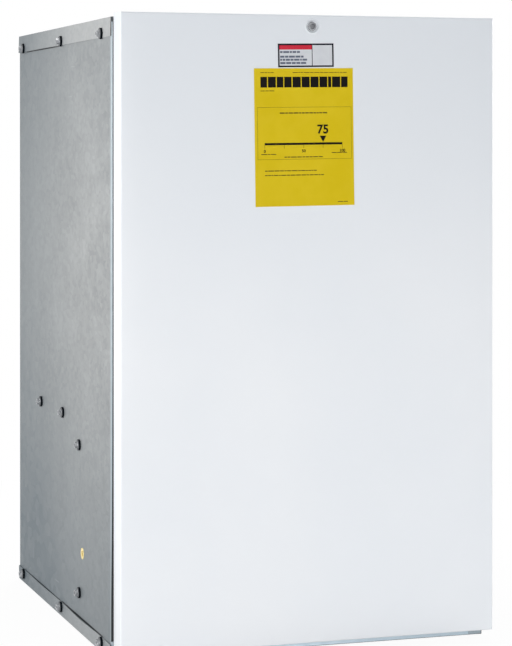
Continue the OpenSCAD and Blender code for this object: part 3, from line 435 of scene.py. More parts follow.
@dataclass(frozen=True)
class PlatedMetal:
    """Plated or turned metal, with fine lines, worn spots and painted shade from its mesh's
    attribute.
    """

    name: str
    tone: Colour
    worn: Colour
    roughness: float = 0.28
    stretch: Point = EVEN

    def make(self) -> bpy.types.Material:
        """Builds the material: smudges pick the tone, thin lines break the gloss.

        Returns:
            The material.
        """
        g = Graph(self.name)
        smudge = g.noise(6, 4, self.stretch, 0.6, 0.3)
        lines = g.noise(1.1, 2, self.stretch, 0.5)
        shade = g.shade()
        colour = g.blend(smudge.rise(0.35, 0.7), self.tone, self.worn)
        # Painted shade: the shade attribute blends to near-black, roughens it and takes its metal
        # away.
        colour = g.blend(shade, colour, SHADE_BLACK)
        rough = self.roughness + smudge * 0.16 + lines * 0.05 + shade * 0.4
        others = {"Metallic": 1 - shade, "Specular IOR Level": 0.03}
        return g.principled(colour, rough, g.bump(lines, 0.02, 0.5), others)


@dataclass(frozen=True)
class MouldedPlastic:
    """Moulded plastic or enamel with a fine texture and faint flow marks."""

    name: str
    tone: Colour
    faded: Colour
    roughness: float = 0.45
    grain: float = 0.9
    relief: float = 0.03

    def make(self) -> bpy.types.Material:
        """Builds the material: slow clouds fade the tone, fine grain breaks the gloss.

        Returns:
            The material.
        """
        g = Graph(self.name)
        flow = g.noise(22, 3, rough=0.5, warp=0.6)
        grain = g.noise(self.grain, 2)
        colour = g.blend(flow.rise(0.35, 0.75), self.tone, self.faded)
        rough = self.roughness + flow * 0.08 + grain * 0.08
        return g.principled(colour, rough, g.bump(grain, self.relief, 0.6))


@dataclass(frozen=True)
class FoamRubber:
    """Closed-cell foam strip with open cut cells."""

    name: str
    tone: Colour = paint(20, 22, 25)
    dusty: Colour = paint(40, 42, 46)

    def make(self) -> bpy.types.Material:
        """Builds the material: the distance to the cells' edges gives pits and tone.

        Returns:
            The material.
        """
        g = Graph(self.name)
        pits = g.cells(1.3, edges=True).rise(0.0, 0.22)
        colour = g.blend(pits * 0.7 + g.noise(14, 3) * 0.2, self.tone, self.dusty)
        return g.principled(colour, 0.92, g.bump(pits, 0.25, 0.8))


@dataclass(frozen=True)
class GlassFibre:
    """Glass-fibre board with crossing fibres and uneven binder."""

    name: str
    tone: Colour = paint(214, 186, 96)
    bound: Colour = paint(178, 142, 58)

    def make(self) -> bpy.types.Material:
        """Builds the material: two noises drawn out along and up cross as fibres.

        Returns:
            The material.
        """
        g = Graph(self.name)
        along = g.noise(2.2, 3, (0.15, 0.15, 1.0), 0.6, 0.8)
        up = g.noise(2.2, 3, (1.0, 1.0, 0.12), 0.6, 0.8)
        tufts = g.noise(16, 4, rough=0.6, warp=1.2)
        fibres = along * 0.5 + up * 0.5
        colour = g.blend(tufts.rise(0.3, 0.75), self.bound, self.tone)
        colour = g.blend(fibres.rise(0.52, 0.7) * 0.5, colour, paint(240, 222, 158))
        return g.principled(colour, 0.9, g.bump(fibres * 0.7 + tufts * 0.3, 0.8, 0.8))


@dataclass(frozen=True)
class LabelPaper:
    """Printed label stock: satin, a little uneven where the ink took."""

    name: str
    tone: Colour
    pale: Colour

    def make(self) -> bpy.types.Material:
        """Builds the material: clouds move the ink's depth, fine tooth breaks the gloss.

        Returns:
            The material.
        """
        g = Graph(self.name)
        clouds = g.noise(34, 3, rough=0.55)
        tooth = g.noise(0.7, 2)
        colour = g.blend(clouds.rise(0.3, 0.75) * 0.8 + tooth * 0.15, self.tone, self.pale)
        satin = {"Specular IOR Level": 0.08}
        return g.principled(colour, 0.46 + clouds * 0.06, g.bump(tooth, 0.012, 0.5), satin)


@dataclass(frozen=True)
class Laminations:
    """Stacked steel laminations, thin light and dark layers across one axis."""

    name: str
    across: int
    layer: float = 0.9
    tone: Colour = paint(70, 72, 76)
    bright: Colour = paint(138, 140, 144)

    def make(self) -> bpy.types.Material:
        """Builds the material: the sine of the place across the stack draws layers.

        Returns:
            The material.
        """
        g = Graph(self.name)
        wave = g.math("SINE", g.axis(self.across) * (FULL_TURN / (self.layer * MM)))
        rust = g.noise(9, 4, rough=0.6).rise(0.62, 0.78)
        colour = g.blend(wave.rise(-0.4, 0.9), self.tone, self.bright)
        colour = g.blend(rust * 0.35, colour, paint(104, 72, 52))
        return g.principled(colour, 0.5, g.bump(wave, 0.08, 0.6), {"Metallic": 0.8})


@dataclass(frozen=True)
class FiredCeramic:
    """Unglazed white ceramic, faintly browned by heat."""

    name: str
    tone: Colour = paint(232, 226, 212)
    browned: Colour = paint(198, 180, 150)

    def make(self) -> bpy.types.Material:
        """Builds the material: clouds brown it and a fine grain roughens it.

        Returns:
            The material.
        """
        g = Graph(self.name)
        heat = g.noise(12, 3, rough=0.6)
        colour = g.blend(heat.rise(0.5, 0.85) * 0.6, self.tone, self.browned)
        return g.principled(colour, 0.62, g.bump(g.noise(0.5, 2), 0.05, 0.6))


class Finish(Enum):
    """Every finish of the furnace, each with the name of its material."""

    GALVANISED = GalvanisedSheet("galvanised_sheet")
    SIDE = GalvanisedSheet(
        "galvanised_side",
        # Painted near-black: along the base strip's top, shadow under the top strip, top front
        # corner.
        seams=(
            (-0.225, 0.010, 0.0200, 0.0222),
            (0.030, 0.270, 0.0200, 0.0210),
            (0.040, 0.260, 0.8366, 0.8385),
            (-0.290, -0.284, 0.8575, 0.8700),
        ),
    )
    FOLDED_EDGE = GalvanisedSheet(
        "galvanised_strip", paint(164, 166, 167), paint(202, 202, 200), 9.0, foot=0.72,
        # Painted light on the sill's front face, which lies in the door's shadow; the foot share is
        # painted shade.
        painted_sheen_band=(-0.2800, -0.2812, 1.0),
    )
    BLOWER_SHEET = GalvanisedSheet(
        "blower_sheet", paint(144, 149, 153), paint(188, 192, 195), 8.0, 0.36, 0.5
    )
    ENAMEL = WhiteEnamel("white_enamel")
    ZINC = PlatedMetal("zinc_plate", paint(172, 174, 178), paint(206, 208, 210), 0.24)
    DOOR_SCREW = PlatedMetal("door_screw_zinc", paint(150, 152, 156), paint(190, 192, 195), 0.30)
    TURNED = PlatedMetal(
        "turned_steel", paint(168, 168, 170), paint(202, 202, 203), 0.20, (1, 0.1, 1)
    )
    CAN = PlatedMetal("drawn_can", paint(196, 198, 201), paint(222, 224, 226), 0.26, (1, 1, 0.15))
    BRASS = PlatedMetal("plain_brass", paint(198, 160, 84), paint(222, 190, 120), 0.26)
    COPPER = PlatedMetal("plain_copper", paint(176, 104, 66), paint(206, 136, 94), 0.30)
    WINDING = PlatedMetal(
        "varnished_winding", paint(128, 62, 28), paint(168, 92, 46), 0.34, (1, 0.2, 1)
    )
    HOT_WIRE = PlatedMetal("resistance_wire", paint(92, 86, 80), paint(140, 130, 118), 0.46)
    MOTOR_PAINT = MouldedPlastic(
        "motor_enamel", paint(48, 51, 56), paint(62, 65, 70), 0.38, 1.4, 0.05
    )
    PHENOLIC = MouldedPlastic("black_phenolic", paint(30, 31, 33), paint(46, 47, 49), 0.42)
    BLACK_NYLON = MouldedPlastic("black_nylon", paint(28, 28, 30), paint(42, 42, 44), 0.38)
    IVORY = MouldedPlastic("ivory_nylon", paint(250, 226, 150), paint(252, 238, 190), 0.40)
    HANDLE = MouldedPlastic("handle_plastic", paint(224, 224, 218), paint(234, 233, 228), 0.30)
    COIL_TAPE = MouldedPlastic(
        "coil_tape", paint(206, 168, 74), paint(222, 190, 108), 0.36, 2.2, 0.06
    )
    RED_WIRE = MouldedPlastic("red_insulation", paint(176, 30, 26), paint(194, 52, 44), 0.36)
    BLACK_WIRE = MouldedPlastic("black_sheath", paint(34, 34, 36), paint(52, 52, 54), 0.52)
    FOAM = FoamRubber("foam_rubber")
    FIBRE = GlassFibre("glass_fibre")
    DOOR_FIBRE = GlassFibre("door_fibre", paint(206, 196, 160), paint(178, 164, 122))
    YELLOW = LabelPaper("yellow_label", paint(216, 189, 20), paint(222, 195, 34))
    TAG = LabelPaper("tag_paper", paint(206, 209, 214), paint(220, 222, 226))
    INK = LabelPaper("black_ink", paint(8, 7, 6), paint(16, 14, 12))
    ROW_INK = LabelPaper("row_ink", paint(82, 70, 22), paint(100, 86, 30))
    TAG_INK = LabelPaper("tag_ink", paint(12, 14, 26), paint(22, 24, 38))
    TAG_ROWS = LabelPaper("tag_rows", paint(92, 98, 116), paint(112, 118, 134))
    TAG_RED = LabelPaper("tag_red", paint(200, 40, 60), paint(212, 54, 72))
    STACK = Laminations("motor_stack", 1)
    CORE = Laminations("transformer_stack", 1, 0.8, paint(66, 68, 72), paint(120, 122, 126))
    CERAMIC = FiredCeramic("fired_ceramic")

    @property
    def material(self) -> bpy.types.Material:
        """The finish's material, made once."""
        return made_material(self)


@lru_cache(maxsize=None)
def made_material(finish: Finish) -> bpy.types.Material:
    """Makes a finish's material on its first use and keeps it."""
    return finish.value.make()


class Shell:
    """A surface gathered from grids of points and turned into one mesh."""

    def __init__(self) -> None:
        """Starts without points or faces."""
        self._points: list[Array] = []
        self._shades: list[Array] = []
        self._faces: list[Array] = []
        self._total = 0

    def add(self, points: Array, shade: Array | float = 0.0) -> Array:
        """Adds points.

        Args:
            points: Places in millimetres, in any arrangement with three last.
            shade: Painted shade of each point, for finishes that read it.

        Returns:
            The points' numbers, in the same arrangement.
        """
        count = points[..., 0].size
        index = np.arange(self._total, self._total + count).reshape(points.shape[:-1])
        self._points.append(points.reshape(-1, 3))
        self._shades.append(np.broadcast_to(shade, points.shape[:-1]).ravel())
        self._total += count
        return index

    def quads(self, index: Array, wrap_rows: bool = False, wrap_columns: bool = False) -> None:
        """Adds the faces between neighbouring rows and columns of numbers.

        Args:
            index: Grid of point numbers; leading axes hold separate grids.
            wrap_rows: Whether the last row meets the first.
            wrap_columns: Whether the last column meets the first.
        """
        if wrap_rows:
            index = np.concatenate([index, index[..., :1, :]], axis=-2)
        if wrap_columns:
            index = np.concatenate([index, index[..., :1]], axis=-1)
        near, far = index[..., :-1, :], index[..., 1:, :]
        corners = (near[..., :-1], far[..., :-1], far[..., 1:], near[..., 1:])
        self._faces.append(np.stack(corners, -1).reshape(-1, 4))

    def cap(self, rings: Array) -> None:
        """Closes rings of point numbers, one face for each row."""
        self._faces.append(rings.reshape(-1, rings.shape[-1]))

    def grid(self, points: Array, wrap_rows: bool = False, wrap_columns: bool = False) -> Array:
        """Adds a grid's points and faces.

        Args:
            points: Places in millimetres, rows of columns.
            wrap_rows: Whether the last row meets the first.
            wrap_columns: Whether the last column meets the first.

        Returns:
            The points' numbers.
        """
        index = self.add(points)
        self.quads(index, wrap_rows, wrap_columns)
        return index

    def skins(self, front: Array, back: Array) -> None:
        """Adds two grids of points as both skins of a sheet, closed round their borders."""
        rims = [border(self.grid(skin)) for skin in (front, back)]
        self.quads(np.stack(rims), wrap_columns=True)

    def tube(self, points: Array, shade: Array | float = 0.0) -> None:
        """Adds rings of points as closed tubes, with both ends capped.

        Args:
            points: Rings of points; leading axes hold separate tubes.
            shade: Painted shade of each point.
        """
        index = self.add(points, shade)
        self.quads(index, wrap_columns=True)
        self.cap(index[..., 0, :])
        self.cap(index[..., -1, ::-1])

    def mesh(self, name: str) -> bpy.types.Mesh:
        """Makes the mesh, with doubles merged and every face outwards.

        Args:
            name: The mesh's name.

        Returns:
            The mesh, in metres.
        """
        mesh = bpy.data.meshes.new(name)
        points = np.concatenate(self._points).astype(np.float32) * MM
        corners = np.concatenate([faces.ravel() for faces in self._faces])
        sizes = np.concatenate([np.full(len(f), f.shape[1]) for f in self._faces])
        starts = np.concatenate([[0], np.cumsum(sizes)[:-1]])
        mesh.vertices.add(len(points))
        mesh.vertices.foreach_set("co", points.ravel())
        mesh.loops.add(len(corners))
        mesh.loops.foreach_set("vertex_index", corners.astype(np.int32))
        mesh.polygons.add(len(sizes))
        mesh.polygons.foreach_set("loop_start", starts.astype(np.int32))
        mesh.polygons.foreach_set("loop_total", sizes.astype(np.int32))
        shades = np.concatenate(self._shades).astype(np.float32)
        if shades.any():
            set_shade(mesh, shades)
        mesh.update(calc_edges=True)
        tidy(mesh)
        return mesh

    def piece(self, name: str) -> bpy.types.Object:
        """Makes the shell an object of the scene."""
        return linked(name, self.mesh(name))

    def enter(
        self, name: str, body: str, slot: str, finish: Finish, node: str = ""
    ) -> bpy.types.Object:
        """Makes the shell a finished piece.

        Args:
            name: The piece's name.
            body: The body that it moves with.
            finish: Its finish.
            node: CAD node that it stands for, or none.

        Returns:
            The piece.
        """
        return enter(self.piece(name), body, finish, node)


def border(index: Array) -> Array:
    """Point numbers round the border of a grid, once round."""
    return np.concatenate([index[:-1, 0], index[-1, :-1], index[:0:-1, -1], index[0, :0:-1]])


def linked(name: str, data: bpy.types.ID) -> bpy.types.Object:
    """Makes a mesh, lamp, camera or text an object of the scene.

    Args:
        name: Name of the object.
        data: The mesh, lamp, camera or text.

    Returns:
        The object, linked to the scene.
    """
    made = bpy.data.objects.new(name, data)
    bpy.context.scene.collection.objects.link(made)
    return made


def baked(piece: bpy.types.Object) -> bpy.types.Mesh:
    """Mesh of an object with its modifiers applied.

    Args:
        piece: The object.

    Returns:
        A new mesh, as the scene shows it.
    """
    bpy.context.view_layer.update()
    graph = bpy.context.evaluated_depsgraph_get()
    return bpy.data.meshes.new_from_object(piece.evaluated_get(graph))


def points_of(mesh: bpy.types.Mesh) -> Array:
    """Points of a mesh in millimetres.

    Args:
        mesh: The mesh.

    Returns:
        Its points, three numbers each.
    """
    flat = np.empty(len(mesh.vertices) * 3, np.float32)
    mesh.vertices.foreach_get("co", flat)
    return flat.reshape(-1, 3) / MM


def set_points(mesh: bpy.types.Mesh, points: Array) -> None:
    """Moves the points of a mesh to new places in millimetres."""
    mesh.vertices.foreach_set("co", (points * MM).astype(np.float32).ravel())


def set_shade(mesh: bpy.types.Mesh, shades: Array) -> None:
    """Gives each point of a mesh its painted shade."""
    mesh.attributes.new(SHADE, "FLOAT", "POINT").data.foreach_set("value", shades)


def tidy(mesh: bpy.types.Mesh, sharp: float = 32.0) -> None:
    """Merges doubles, turns faces outwards and shades smooth between sharp edges.

    Args:
        mesh: The mesh.
        sharp: Angle in degrees from which an edge stays sharp.
    """
    work = bmesh.new()
    work.from_mesh(mesh)
    bmesh.ops.remove_doubles(work, verts=work.verts, dist=0.002 * MM)
    bmesh.ops.dissolve_degenerate(work, edges=work.edges, dist=0.001 * MM)
    bmesh.ops.recalc_face_normals(work, faces=work.faces)
    work.to_mesh(mesh)
    work.free()
    mesh.polygons.foreach_set("use_smooth", np.ones(len(mesh.polygons), bool))
    mesh.set_sharp_from_angle(angle=math.radians(sharp))


def enter(
    piece: bpy.types.Object, body: str, finish: Finish, node: str = ""
) -> bpy.types.Object:
    """Puts a piece on its body, gives it its finish and reports it.

    Args:
        piece: The piece.
        body: The body that it moves with.
        finish: Its finish.
        node: CAD node that it stands for, or none.

    Returns:
        The piece.
    """
    coat(piece, finish)
    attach(piece, body)
    if node:
        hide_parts(node)
    log.info("%s: %d faces on %s", piece.name, len(piece.data.polygons), body)
    return piece


def coat(piece: bpy.types.Object, finish: Finish) -> None:
    """Gives a piece one finish in place of what it had."""
    piece.data.materials.clear()
    piece.data.materials.append(finish.material)


def dress(finish: Finish, *nodes: str) -> None:
    """Gives CAD nodes a finish, their meshes and places kept.

    Args:
        finish: The finish.
        nodes: Names of the nodes.
    """
    for name in nodes:
        coat(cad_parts[name], finish)
        log.info("%s: dressed in %s", name, finish.name)


def soften(width: float, *nodes: str) -> None:
    """Breaks the sharp edges of CAD nodes by modifiers.

    Args:
        width: Width of the broken edge in millimetres.
        nodes: The nodes.
    """
    for name in nodes:
        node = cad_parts[name]
        weld = node.modifiers.new("weld", "WELD")
        weld.merge_threshold = 0.005 * MM
        bevel = node.modifiers.new("edge", "BEVEL")
        bevel.width = width * MM
        bevel.segments = 2
        bevel.limit_method = "ANGLE"
        bevel.angle_limit = math.radians(50)
        bevel.harden_normals = True


def span(points: Array) -> tuple[Array, Array, Array]:
    """Lowest corner, highest corner and middle of points."""
    low, high = points.min(axis=0), points.max(axis=0)
    return low, high, (low + high) / 2


def corners_of(name: str) -> tuple[Array, Array, Array]:
    """Lowest corner, highest corner and middle of a CAD node, in millimetres."""
    low, high = (np.array(corner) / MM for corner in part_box(name))
    return low, high, (low + high) / 2


def solids_of(name: str) -> list[Array]:
    """Points of each separate solid in a CAD node, in millimetres.

    Points at one place are merged, then each face's lowest label spreads over its points
    until no label changes.

    Args:
        name: The node.

    Returns:
        The points of each solid, three numbers each.
    """
    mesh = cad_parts[name].data
    mesh.calc_loop_triangles()
    faces = np.empty(len(mesh.loop_triangles) * 3, np.int32)
    mesh.loop_triangles.foreach_get("vertices", faces)
    places, where = np.unique(np.round(points_of(mesh), 2), axis=0, return_inverse=True)
    faces = where.ravel()[faces].reshape(-1, 3)
    label = np.arange(len(places))
    while True:
        lowest = label[faces].min(axis=1)
        spread = label.copy()
        np.minimum.at(spread, faces.ravel(), np.repeat(lowest, 3))
        spread = spread[spread]
        if (spread == label).all():
            break
        label = spread
    return [places[label == one] for one in np.unique(label)]


def unit(vectors: Array) -> Array:
    """Vectors of length one."""
    return vectors / np.linalg.norm(vectors, axis=-1, keepdims=True)


def circle(steps: int) -> Array:
    """Angles of even steps once round."""
    return np.linspace(0, FULL_TURN, steps, endpoint=False)


def offset_line(line: Array, distance: float) -> Array:
    """Moves a flat line sideways, to the left of its run, corners kept sharp.

    Args:
        line: Points of the line, two numbers each.
        distance: How far it moves.

    Returns:
        The moved points: each corner moves along the sum of its two normals, lengthened so
        that both runs keep the distance.
    """
    run = unit(np.diff(line, axis=0))
    normal = np.stack([-run[:, 1], run[:, 0]], -1)
    before = np.vstack([normal[:1], normal])
    after = np.vstack([normal, normal[-1:]])
    share = 1 + (before * after).sum(-1, keepdims=True)
    return line + distance * (before + after) / share


def round_line(line: Array, radius: float, steps: int = 6) -> Array:
    """Rounds the inner corners of a flat line.

    Args:
        line: Points of the line, two numbers each.
        radius: Radius of every bend.
        steps: Points of each arc.

    Returns:
        The line with each corner as an arc that starts square to the bend's radius and
        turns about its centre by the corner's own angle.
    """
    run = unit(np.diff(line, axis=0))
    first, second = run[:-1], run[1:]
    cross = first[:, 0] * second[:, 1] - first[:, 1] * second[:, 0]
    turn = np.arctan2(cross, (first * second).sum(-1))
    side = np.sign(turn)[:, None] * np.stack([-first[:, 1], first[:, 0]], -1)
    start = line[1:-1] - first * (radius * np.tan(np.abs(turn) / 2))[:, None]
    centre = start + radius * side
    angle = np.abs(turn)[:, None, None] * np.linspace(0, 1, steps)[None, :, None]
    out = np.cos(angle) * side[:, None] - np.sin(angle) * first[:, None]
    arcs = centre[:, None] - radius * out
    return np.vstack([line[:1], arcs.reshape(-1, 2), line[-1:]])


def bent_strip(line: Array, thick: float, radius: float) -> Array:
    """Closed outline of a bent sheet, from its outer line.

    Args:
        line: Outer line; the sheet lies to its left.
        thick: Thickness of the sheet.
        radius: Outer radius of its bends.

    Returns:
        The outline: the outer line, then the inner one backwards, with arcs of one centre.
    """
    outer = round_line(line, radius)
    inner = round_line(offset_line(line, thick), max(radius - thick, 0.05))
    return np.vstack([outer, inner[::-1]])


def rectangle(u0: float, v0: float, u1: float, v1: float) -> Array:
    """Outline of a rectangle from its lower left to its upper right corner."""
    return np.array([[u0, v0], [u1, v0], [u1, v1], [u0, v1]], float)


def across(outline: Array, levels: Array, plane: tuple[int, int], axis: int) -> Array:
    """Repeats a flat outline at several levels along an axis.

    Args:
        outline: Points of the outline, two numbers each.
        levels: Places along the axis.
        plane: The axes of the outline's two numbers.
        axis: The axis of the levels.

    Returns:
        A grid of points, a row for each level.
    """
    grid = np.zeros((len(levels), len(outline), 3))
    grid[..., plane[0]] = outline[:, 0]
    grid[..., plane[1]] = outline[:, 1]
    grid[..., axis] = np.asarray(levels)[:, None]
    return grid


def boxes(shell: Shell, low: Array, high: Array) -> None:
    """Adds closed boxes.

    Args:
        shell: The shell that they go into.
        low: Lowest corners, three numbers each.
        high: Highest corners.
    """
    low, high = (np.atleast_2d(corner).astype(float)[:, None, None] for corner in (low, high))
    pick = across(rectangle(0, 0, 1, 1), [0, 1], (0, 1), 2)
    shell.tube(low + pick * (high - low))


def spokes(up: Array, steps: int, level: Point, upright: Point) -> Array:
    """Unit vectors at even steps round an axis.

    Args:
        up: Direction of the axis, of length one.
        steps: Number of vectors.
        level: Direction that the first vector is square to.
        upright: The same, for an axis that is nearly upright.

    Returns:
        The vectors, each the cosine of its angle times a first vector plus the sine times
        a second one that is square to both it and the axis.
    """
    first = unit(np.cross(up, level if abs(up[2]) < 0.9 else upright))
    angle = circle(steps)[:, None]
    return np.cos(angle) * first + np.sin(angle) * np.cross(up, first)


def turned(profile: Array, steps: int, origin: Point, direction: Point) -> Array:
    """Turns a profile about an axis.

    Args:
        profile: Radius and height of each ring, in order.
        steps: Points of each ring.
        origin: Foot of the axis.
        direction: The way that the axis points.

    Returns:
        Grid of points, a row for each ring: origin + height along the axis + radius round it.
    """
    up = unit(np.array(direction, float))
    ring = spokes(up, steps, (0.31, 0.27, 0.91), (1.0, 0.2, 0.0))
    return np.array(origin) + profile[:, None, 1:] * up + profile[:, None, :1] * ring


def swept(path: Array, radius: float | Array, sides: int) -> Array:
    """Rings of points round a path.

    Args:
        path: Points of the path.
        radius: Radius of the tube, one or one for each point.
        sides: Points of each ring.

    Returns:
        Grid of points, each ring square to the path's own direction there.
    """
    tangent = unit(np.gradient(path, axis=-2))
    side = unit(np.cross(tangent, [0.3, 0.2, 0.93]))
    up = np.cross(side, tangent)
    angle = circle(sides)[:, None]
    reach = np.broadcast_to(np.asarray(radius, float), path.shape[:-1])[..., None, None]
    ring = np.cos(angle) * side[..., None, :] + np.sin(angle) * up[..., None, :]
    return path[..., None, :] + reach * ring


def bent_route(points: list[Point], bend: float, steps: int = 10) -> Array:
    """Route with rounded corners.

    Args:
        points: The route's own points.
        bend: Length that each corner takes from both of its runs.
        steps: Points of each corner.

    Returns:
        The route, each corner a quadratic curve pulled towards the corner point.
    """
    line = np.array(points, float)
    corner = line[1:-1]
    start = corner + bend * unit(line[:-2] - corner)
    end = corner + bend * unit(line[2:] - corner)
    u = np.linspace(0, 1, steps)[None, :, None]
    curves = (1 - u) ** 2 * start[:, None] + 2 * u * (1 - u) * corner[:, None] + u**2 * end[:, None]
    return np.vstack([line[:1], curves.reshape(-1, 3), line[-1:]])


def carve(piece: bpy.types.Object, cutter: Shell) -> None:
    """Cuts a closed shell out of a piece and keeps the result as its mesh.

    Args:
        piece: The piece.
        cutter: The shell, which is used up.
    """
    tool = cutter.piece(piece.name + "_cutter")
    cut = piece.modifiers.new("cut", "BOOLEAN")
    cut.operation = "DIFFERENCE"
    cut.solver = "EXACT"
    cut.object = tool
    carved = baked(piece)
    piece.modifiers.clear()
    piece.data = carved
    bpy.data.objects.remove(tool)
    tidy(carved)


@dataclass
class HexScrew:
    """Hexagon screw with a dished washer on a dark sealing ring and a rolled thread."""

    washer_r: float = 7.8
    seal_h: float = 2.9
    head_h: float = 7.8
    flats: float = 8.0
    shank_r: float = 2.4
    root_r: float = 1.75
    pitch: float = 1.4
    steps: int = 48
    dish_r: float = 2.5
    dish_h: float = 0.75
    # Painted shade of dish, end, sides and washer face, and of the washer's rim.
    shades: tuple[float, float, float, float] = (0.8, 0.0, 0.25, 0.7)
    rim_shade: float = 0.9
    point: float = 3.0

    def head_rings(self, turn: float) -> tuple[Array, Array]:
        """Rings of the head, radius and height for each direction round the axis.

        Args:
            turn: Turn of the hexagon in radians.

        Returns:
            Grid (ring, direction, 2) and the rings' painted shade, from the shades of dish,
            end, sides and washer. The hexagon's radius is its half width over the cosine of the
            angle from the nearest flat, and its chamfer is a cone.
        """
        angle = circle(self.steps)
        flat, rim, seal, top = self.flats / 2, self.washer_r, self.seal_h, self.head_h
        bay = (angle - turn) % (math.pi / 3) - math.pi / 6
        hexagon = flat / np.cos(bay)
        crown = flat * 0.93
        foot = seal + 0.6
        # Painted shade on the head; the sealing ring's near-black is its rubber and its shade
        # together.
        dish, end, wall, face = self.shades
        rings = [
            (0.02, top - self.dish_h, dish),
            (self.dish_r * 0.8, top - self.dish_h + 0.05, dish),
            (self.dish_r, top - self.dish_h * 0.6, dish),
            (self.dish_r + 0.25, top - 0.06, end),
            (crown * 0.94, top, end),
            (crown, top - 0.03, end),
            (hexagon, top - (hexagon - crown) * 0.5, end),
            (hexagon, top - 2.2, wall),
            (hexagon, foot + 0.35, wall),
            (hexagon + 0.30, foot, (wall + face) / 2),
            (hexagon + 0.9, foot - 0.05, face),
            (rim - 0.8, seal + 0.30, face),
            (rim - 0.12, seal + 0.12, self.rim_shade),
            (rim, seal - 0.05, 1.0),
            (rim, seal - 0.3, 1.0),
            (rim - 0.15, seal - 0.4, 1.0),
            (rim - 0.05, seal * 0.4, 1.0),
            (rim, 0.1, 1.0),
            (rim - 0.2, 0.0, 1.0),
            (self.root_r, 0.0, 1.0),
        ]
        grid = np.zeros((len(rings), self.steps, 2))
        for row, (radius, height, _) in zip(grid, rings):
            row[:, 0], row[:, 1] = radius, height
        return grid, np.array([dark for _, _, dark in rings])

    def thread_rings(self, length: float) -> Array:
        """Rings of the shank.

        Args:
            length: Length of the shank.

        Returns:
            Grid (ring, direction, 2). The radius rises from root to crest as a triangle wave
            of the height less the turn, over one pitch, and narrows to the point.
        """
        angle = circle(self.steps)
        depth = np.arange(0.35, length, self.pitch / 6)[:, None]
        phase = (depth / self.pitch - angle / FULL_TURN) % 1
        crest = np.clip(1 - np.abs(phase - 0.5) * 3.2, 0, 1)
        narrow = np.clip((length - depth) / self.point, 0.05, 1)
        radius = (self.root_r + (self.shank_r - self.root_r) * crest) * narrow
        return np.stack([radius, -depth + 0 * angle], -1)

    def place(self, shell: Shell, seat: Array, out: Array, length: float, turn: float) -> None:
        """Adds one screw to a shell.

        Args:
            shell: The shell.
            seat: Middle of its washer face.
            out: Outward direction of its head.
            length: Length of its shank.
            turn: Turn of its hexagon in radians.
        """
        head, dark = self.head_rings(turn)
        thread = self.thread_rings(length)
        rings = np.concatenate([head, thread])
        shade = np.concatenate([dark, np.zeros(len(thread))])[:, None]
        up = unit(np.asarray(out, float))
        around = spokes(up, self.steps, (0, 0, 1), (1, 0, 0))
        shell.tube(seat + rings[..., :1] * around + rings[..., 1:] * up, shade)

    @staticmethod
    def seats(node: str) -> list[tuple[Array, Array, float, float]]:
        """Seat, outward direction, shank length and washer radius of a CAD node's screws.

        A screw's two equal sides lie across it. Its washer's rim is what lies furthest from
        the axis: its foot is the seat, and it is nearer to the head's end.

        Args:
            node: The CAD node.

        Returns:
            Those four for each screw.
        """
        found = []
        for points in solids_of(node):
            low, high, middle = span(points)
            size = high - low
            gaps = np.abs(size - np.roll(size, 1))
            axis = int((np.argmin(gaps) + 1) % 3)
            away = np.linalg.norm(np.delete(points - middle, axis, axis=1), axis=1)
            rim = points[away > away.max() - 0.02, axis]
            sign = 1.0 if rim.mean() > middle[axis] else -1.0
            out = np.zeros(3)
            out[axis] = sign
            seat = middle.copy()
            seat[axis] = rim.min() if sign > 0 else rim.max()
            tip = low[axis] if sign > 0 else high[axis]
            found.append((seat, out, abs(seat[axis] - tip), float(away.max())))
        return found

    def build(self, node: str, body: str, rng: np.random.Generator) -> bpy.types.Object:
        """Replaces a CAD node of screws by finished ones, each at its own turn.

        Args:
            node: The CAD node.
            body: The body that it moves with.
            rng: Source of the turns.

        Returns:
            The finished screws.
        """
        shell = Shell()
        for seat, out, length, washer_r in self.seats(node):
            turn = float(rng.uniform(0, math.pi / 3))
            replace(self, washer_r=washer_r).place(shell, seat, out, length, turn)
        return shell.enter(node + "_finished", body, "zinc_screw", Finish.ZINC, node)


@dataclass
class Bushing:
    """Snap-in bushing in a side panel, with a rounded collar and a short barrel."""

    node: str
    sign: int
    slot: str
    finish: Finish
    collar: float
    wall: float
    rise: float
    face: float = 2.0

    def cutter(self, web: float) -> Shell:
        """Round cutter for its hole in a side panel.

        Args:
            web: Place of the panel's face.

        Returns:
            The cutter.
        """
        low, high, centre = corners_of(self.node)
        radius = (high[2] - low[2]) / 2 - self.collar
        profile = np.array([[radius, -6.0], [radius, 6.0]])
        cutter = Shell()
        cutter.tube(turned(profile, 48, (web, centre[1], centre[2]), (1, 0, 0)))
        return cutter

    def build(self) -> None:
        """Turns the profile of collar and barrel about the hole's axis."""
        low, high, centre = corners_of(self.node)
        outer = (high[2] - low[2]) / 2
        hole = outer - self.collar
        inside = (high[0] - low[0]) - self.face
        bore, rise = hole - self.wall, self.rise
        profile = [
            [bore, -inside],
            [bore, 1.2 * rise],
            [bore + 0.3, 1.75 * rise],
            [bore + 1.0, 2.0 * rise],
            [outer - 0.9, 2.0 * rise],
            [outer - 0.25, 1.7 * rise],
            [outer, 1.0 * rise],
            [outer, 0.0],
            [hole, 0.0],
            [hole, -1.2],
            [hole - 0.1, -1.6],
            [hole - 0.5, -inside + 0.4],
            [hole - 0.9, -inside],
        ]
        web = high[0] - self.face if self.sign > 0 else low[0] + self.face
        shell = Shell()
        rings = turned(np.array(profile), 64, (web, centre[1], centre[2]), (self.sign, 0, 0))
        shell.grid(rings, wrap_rows=True, wrap_columns=True)
        shell.enter(self.node + "_moulded", "cabinet", self.slot, self.finish, self.node)


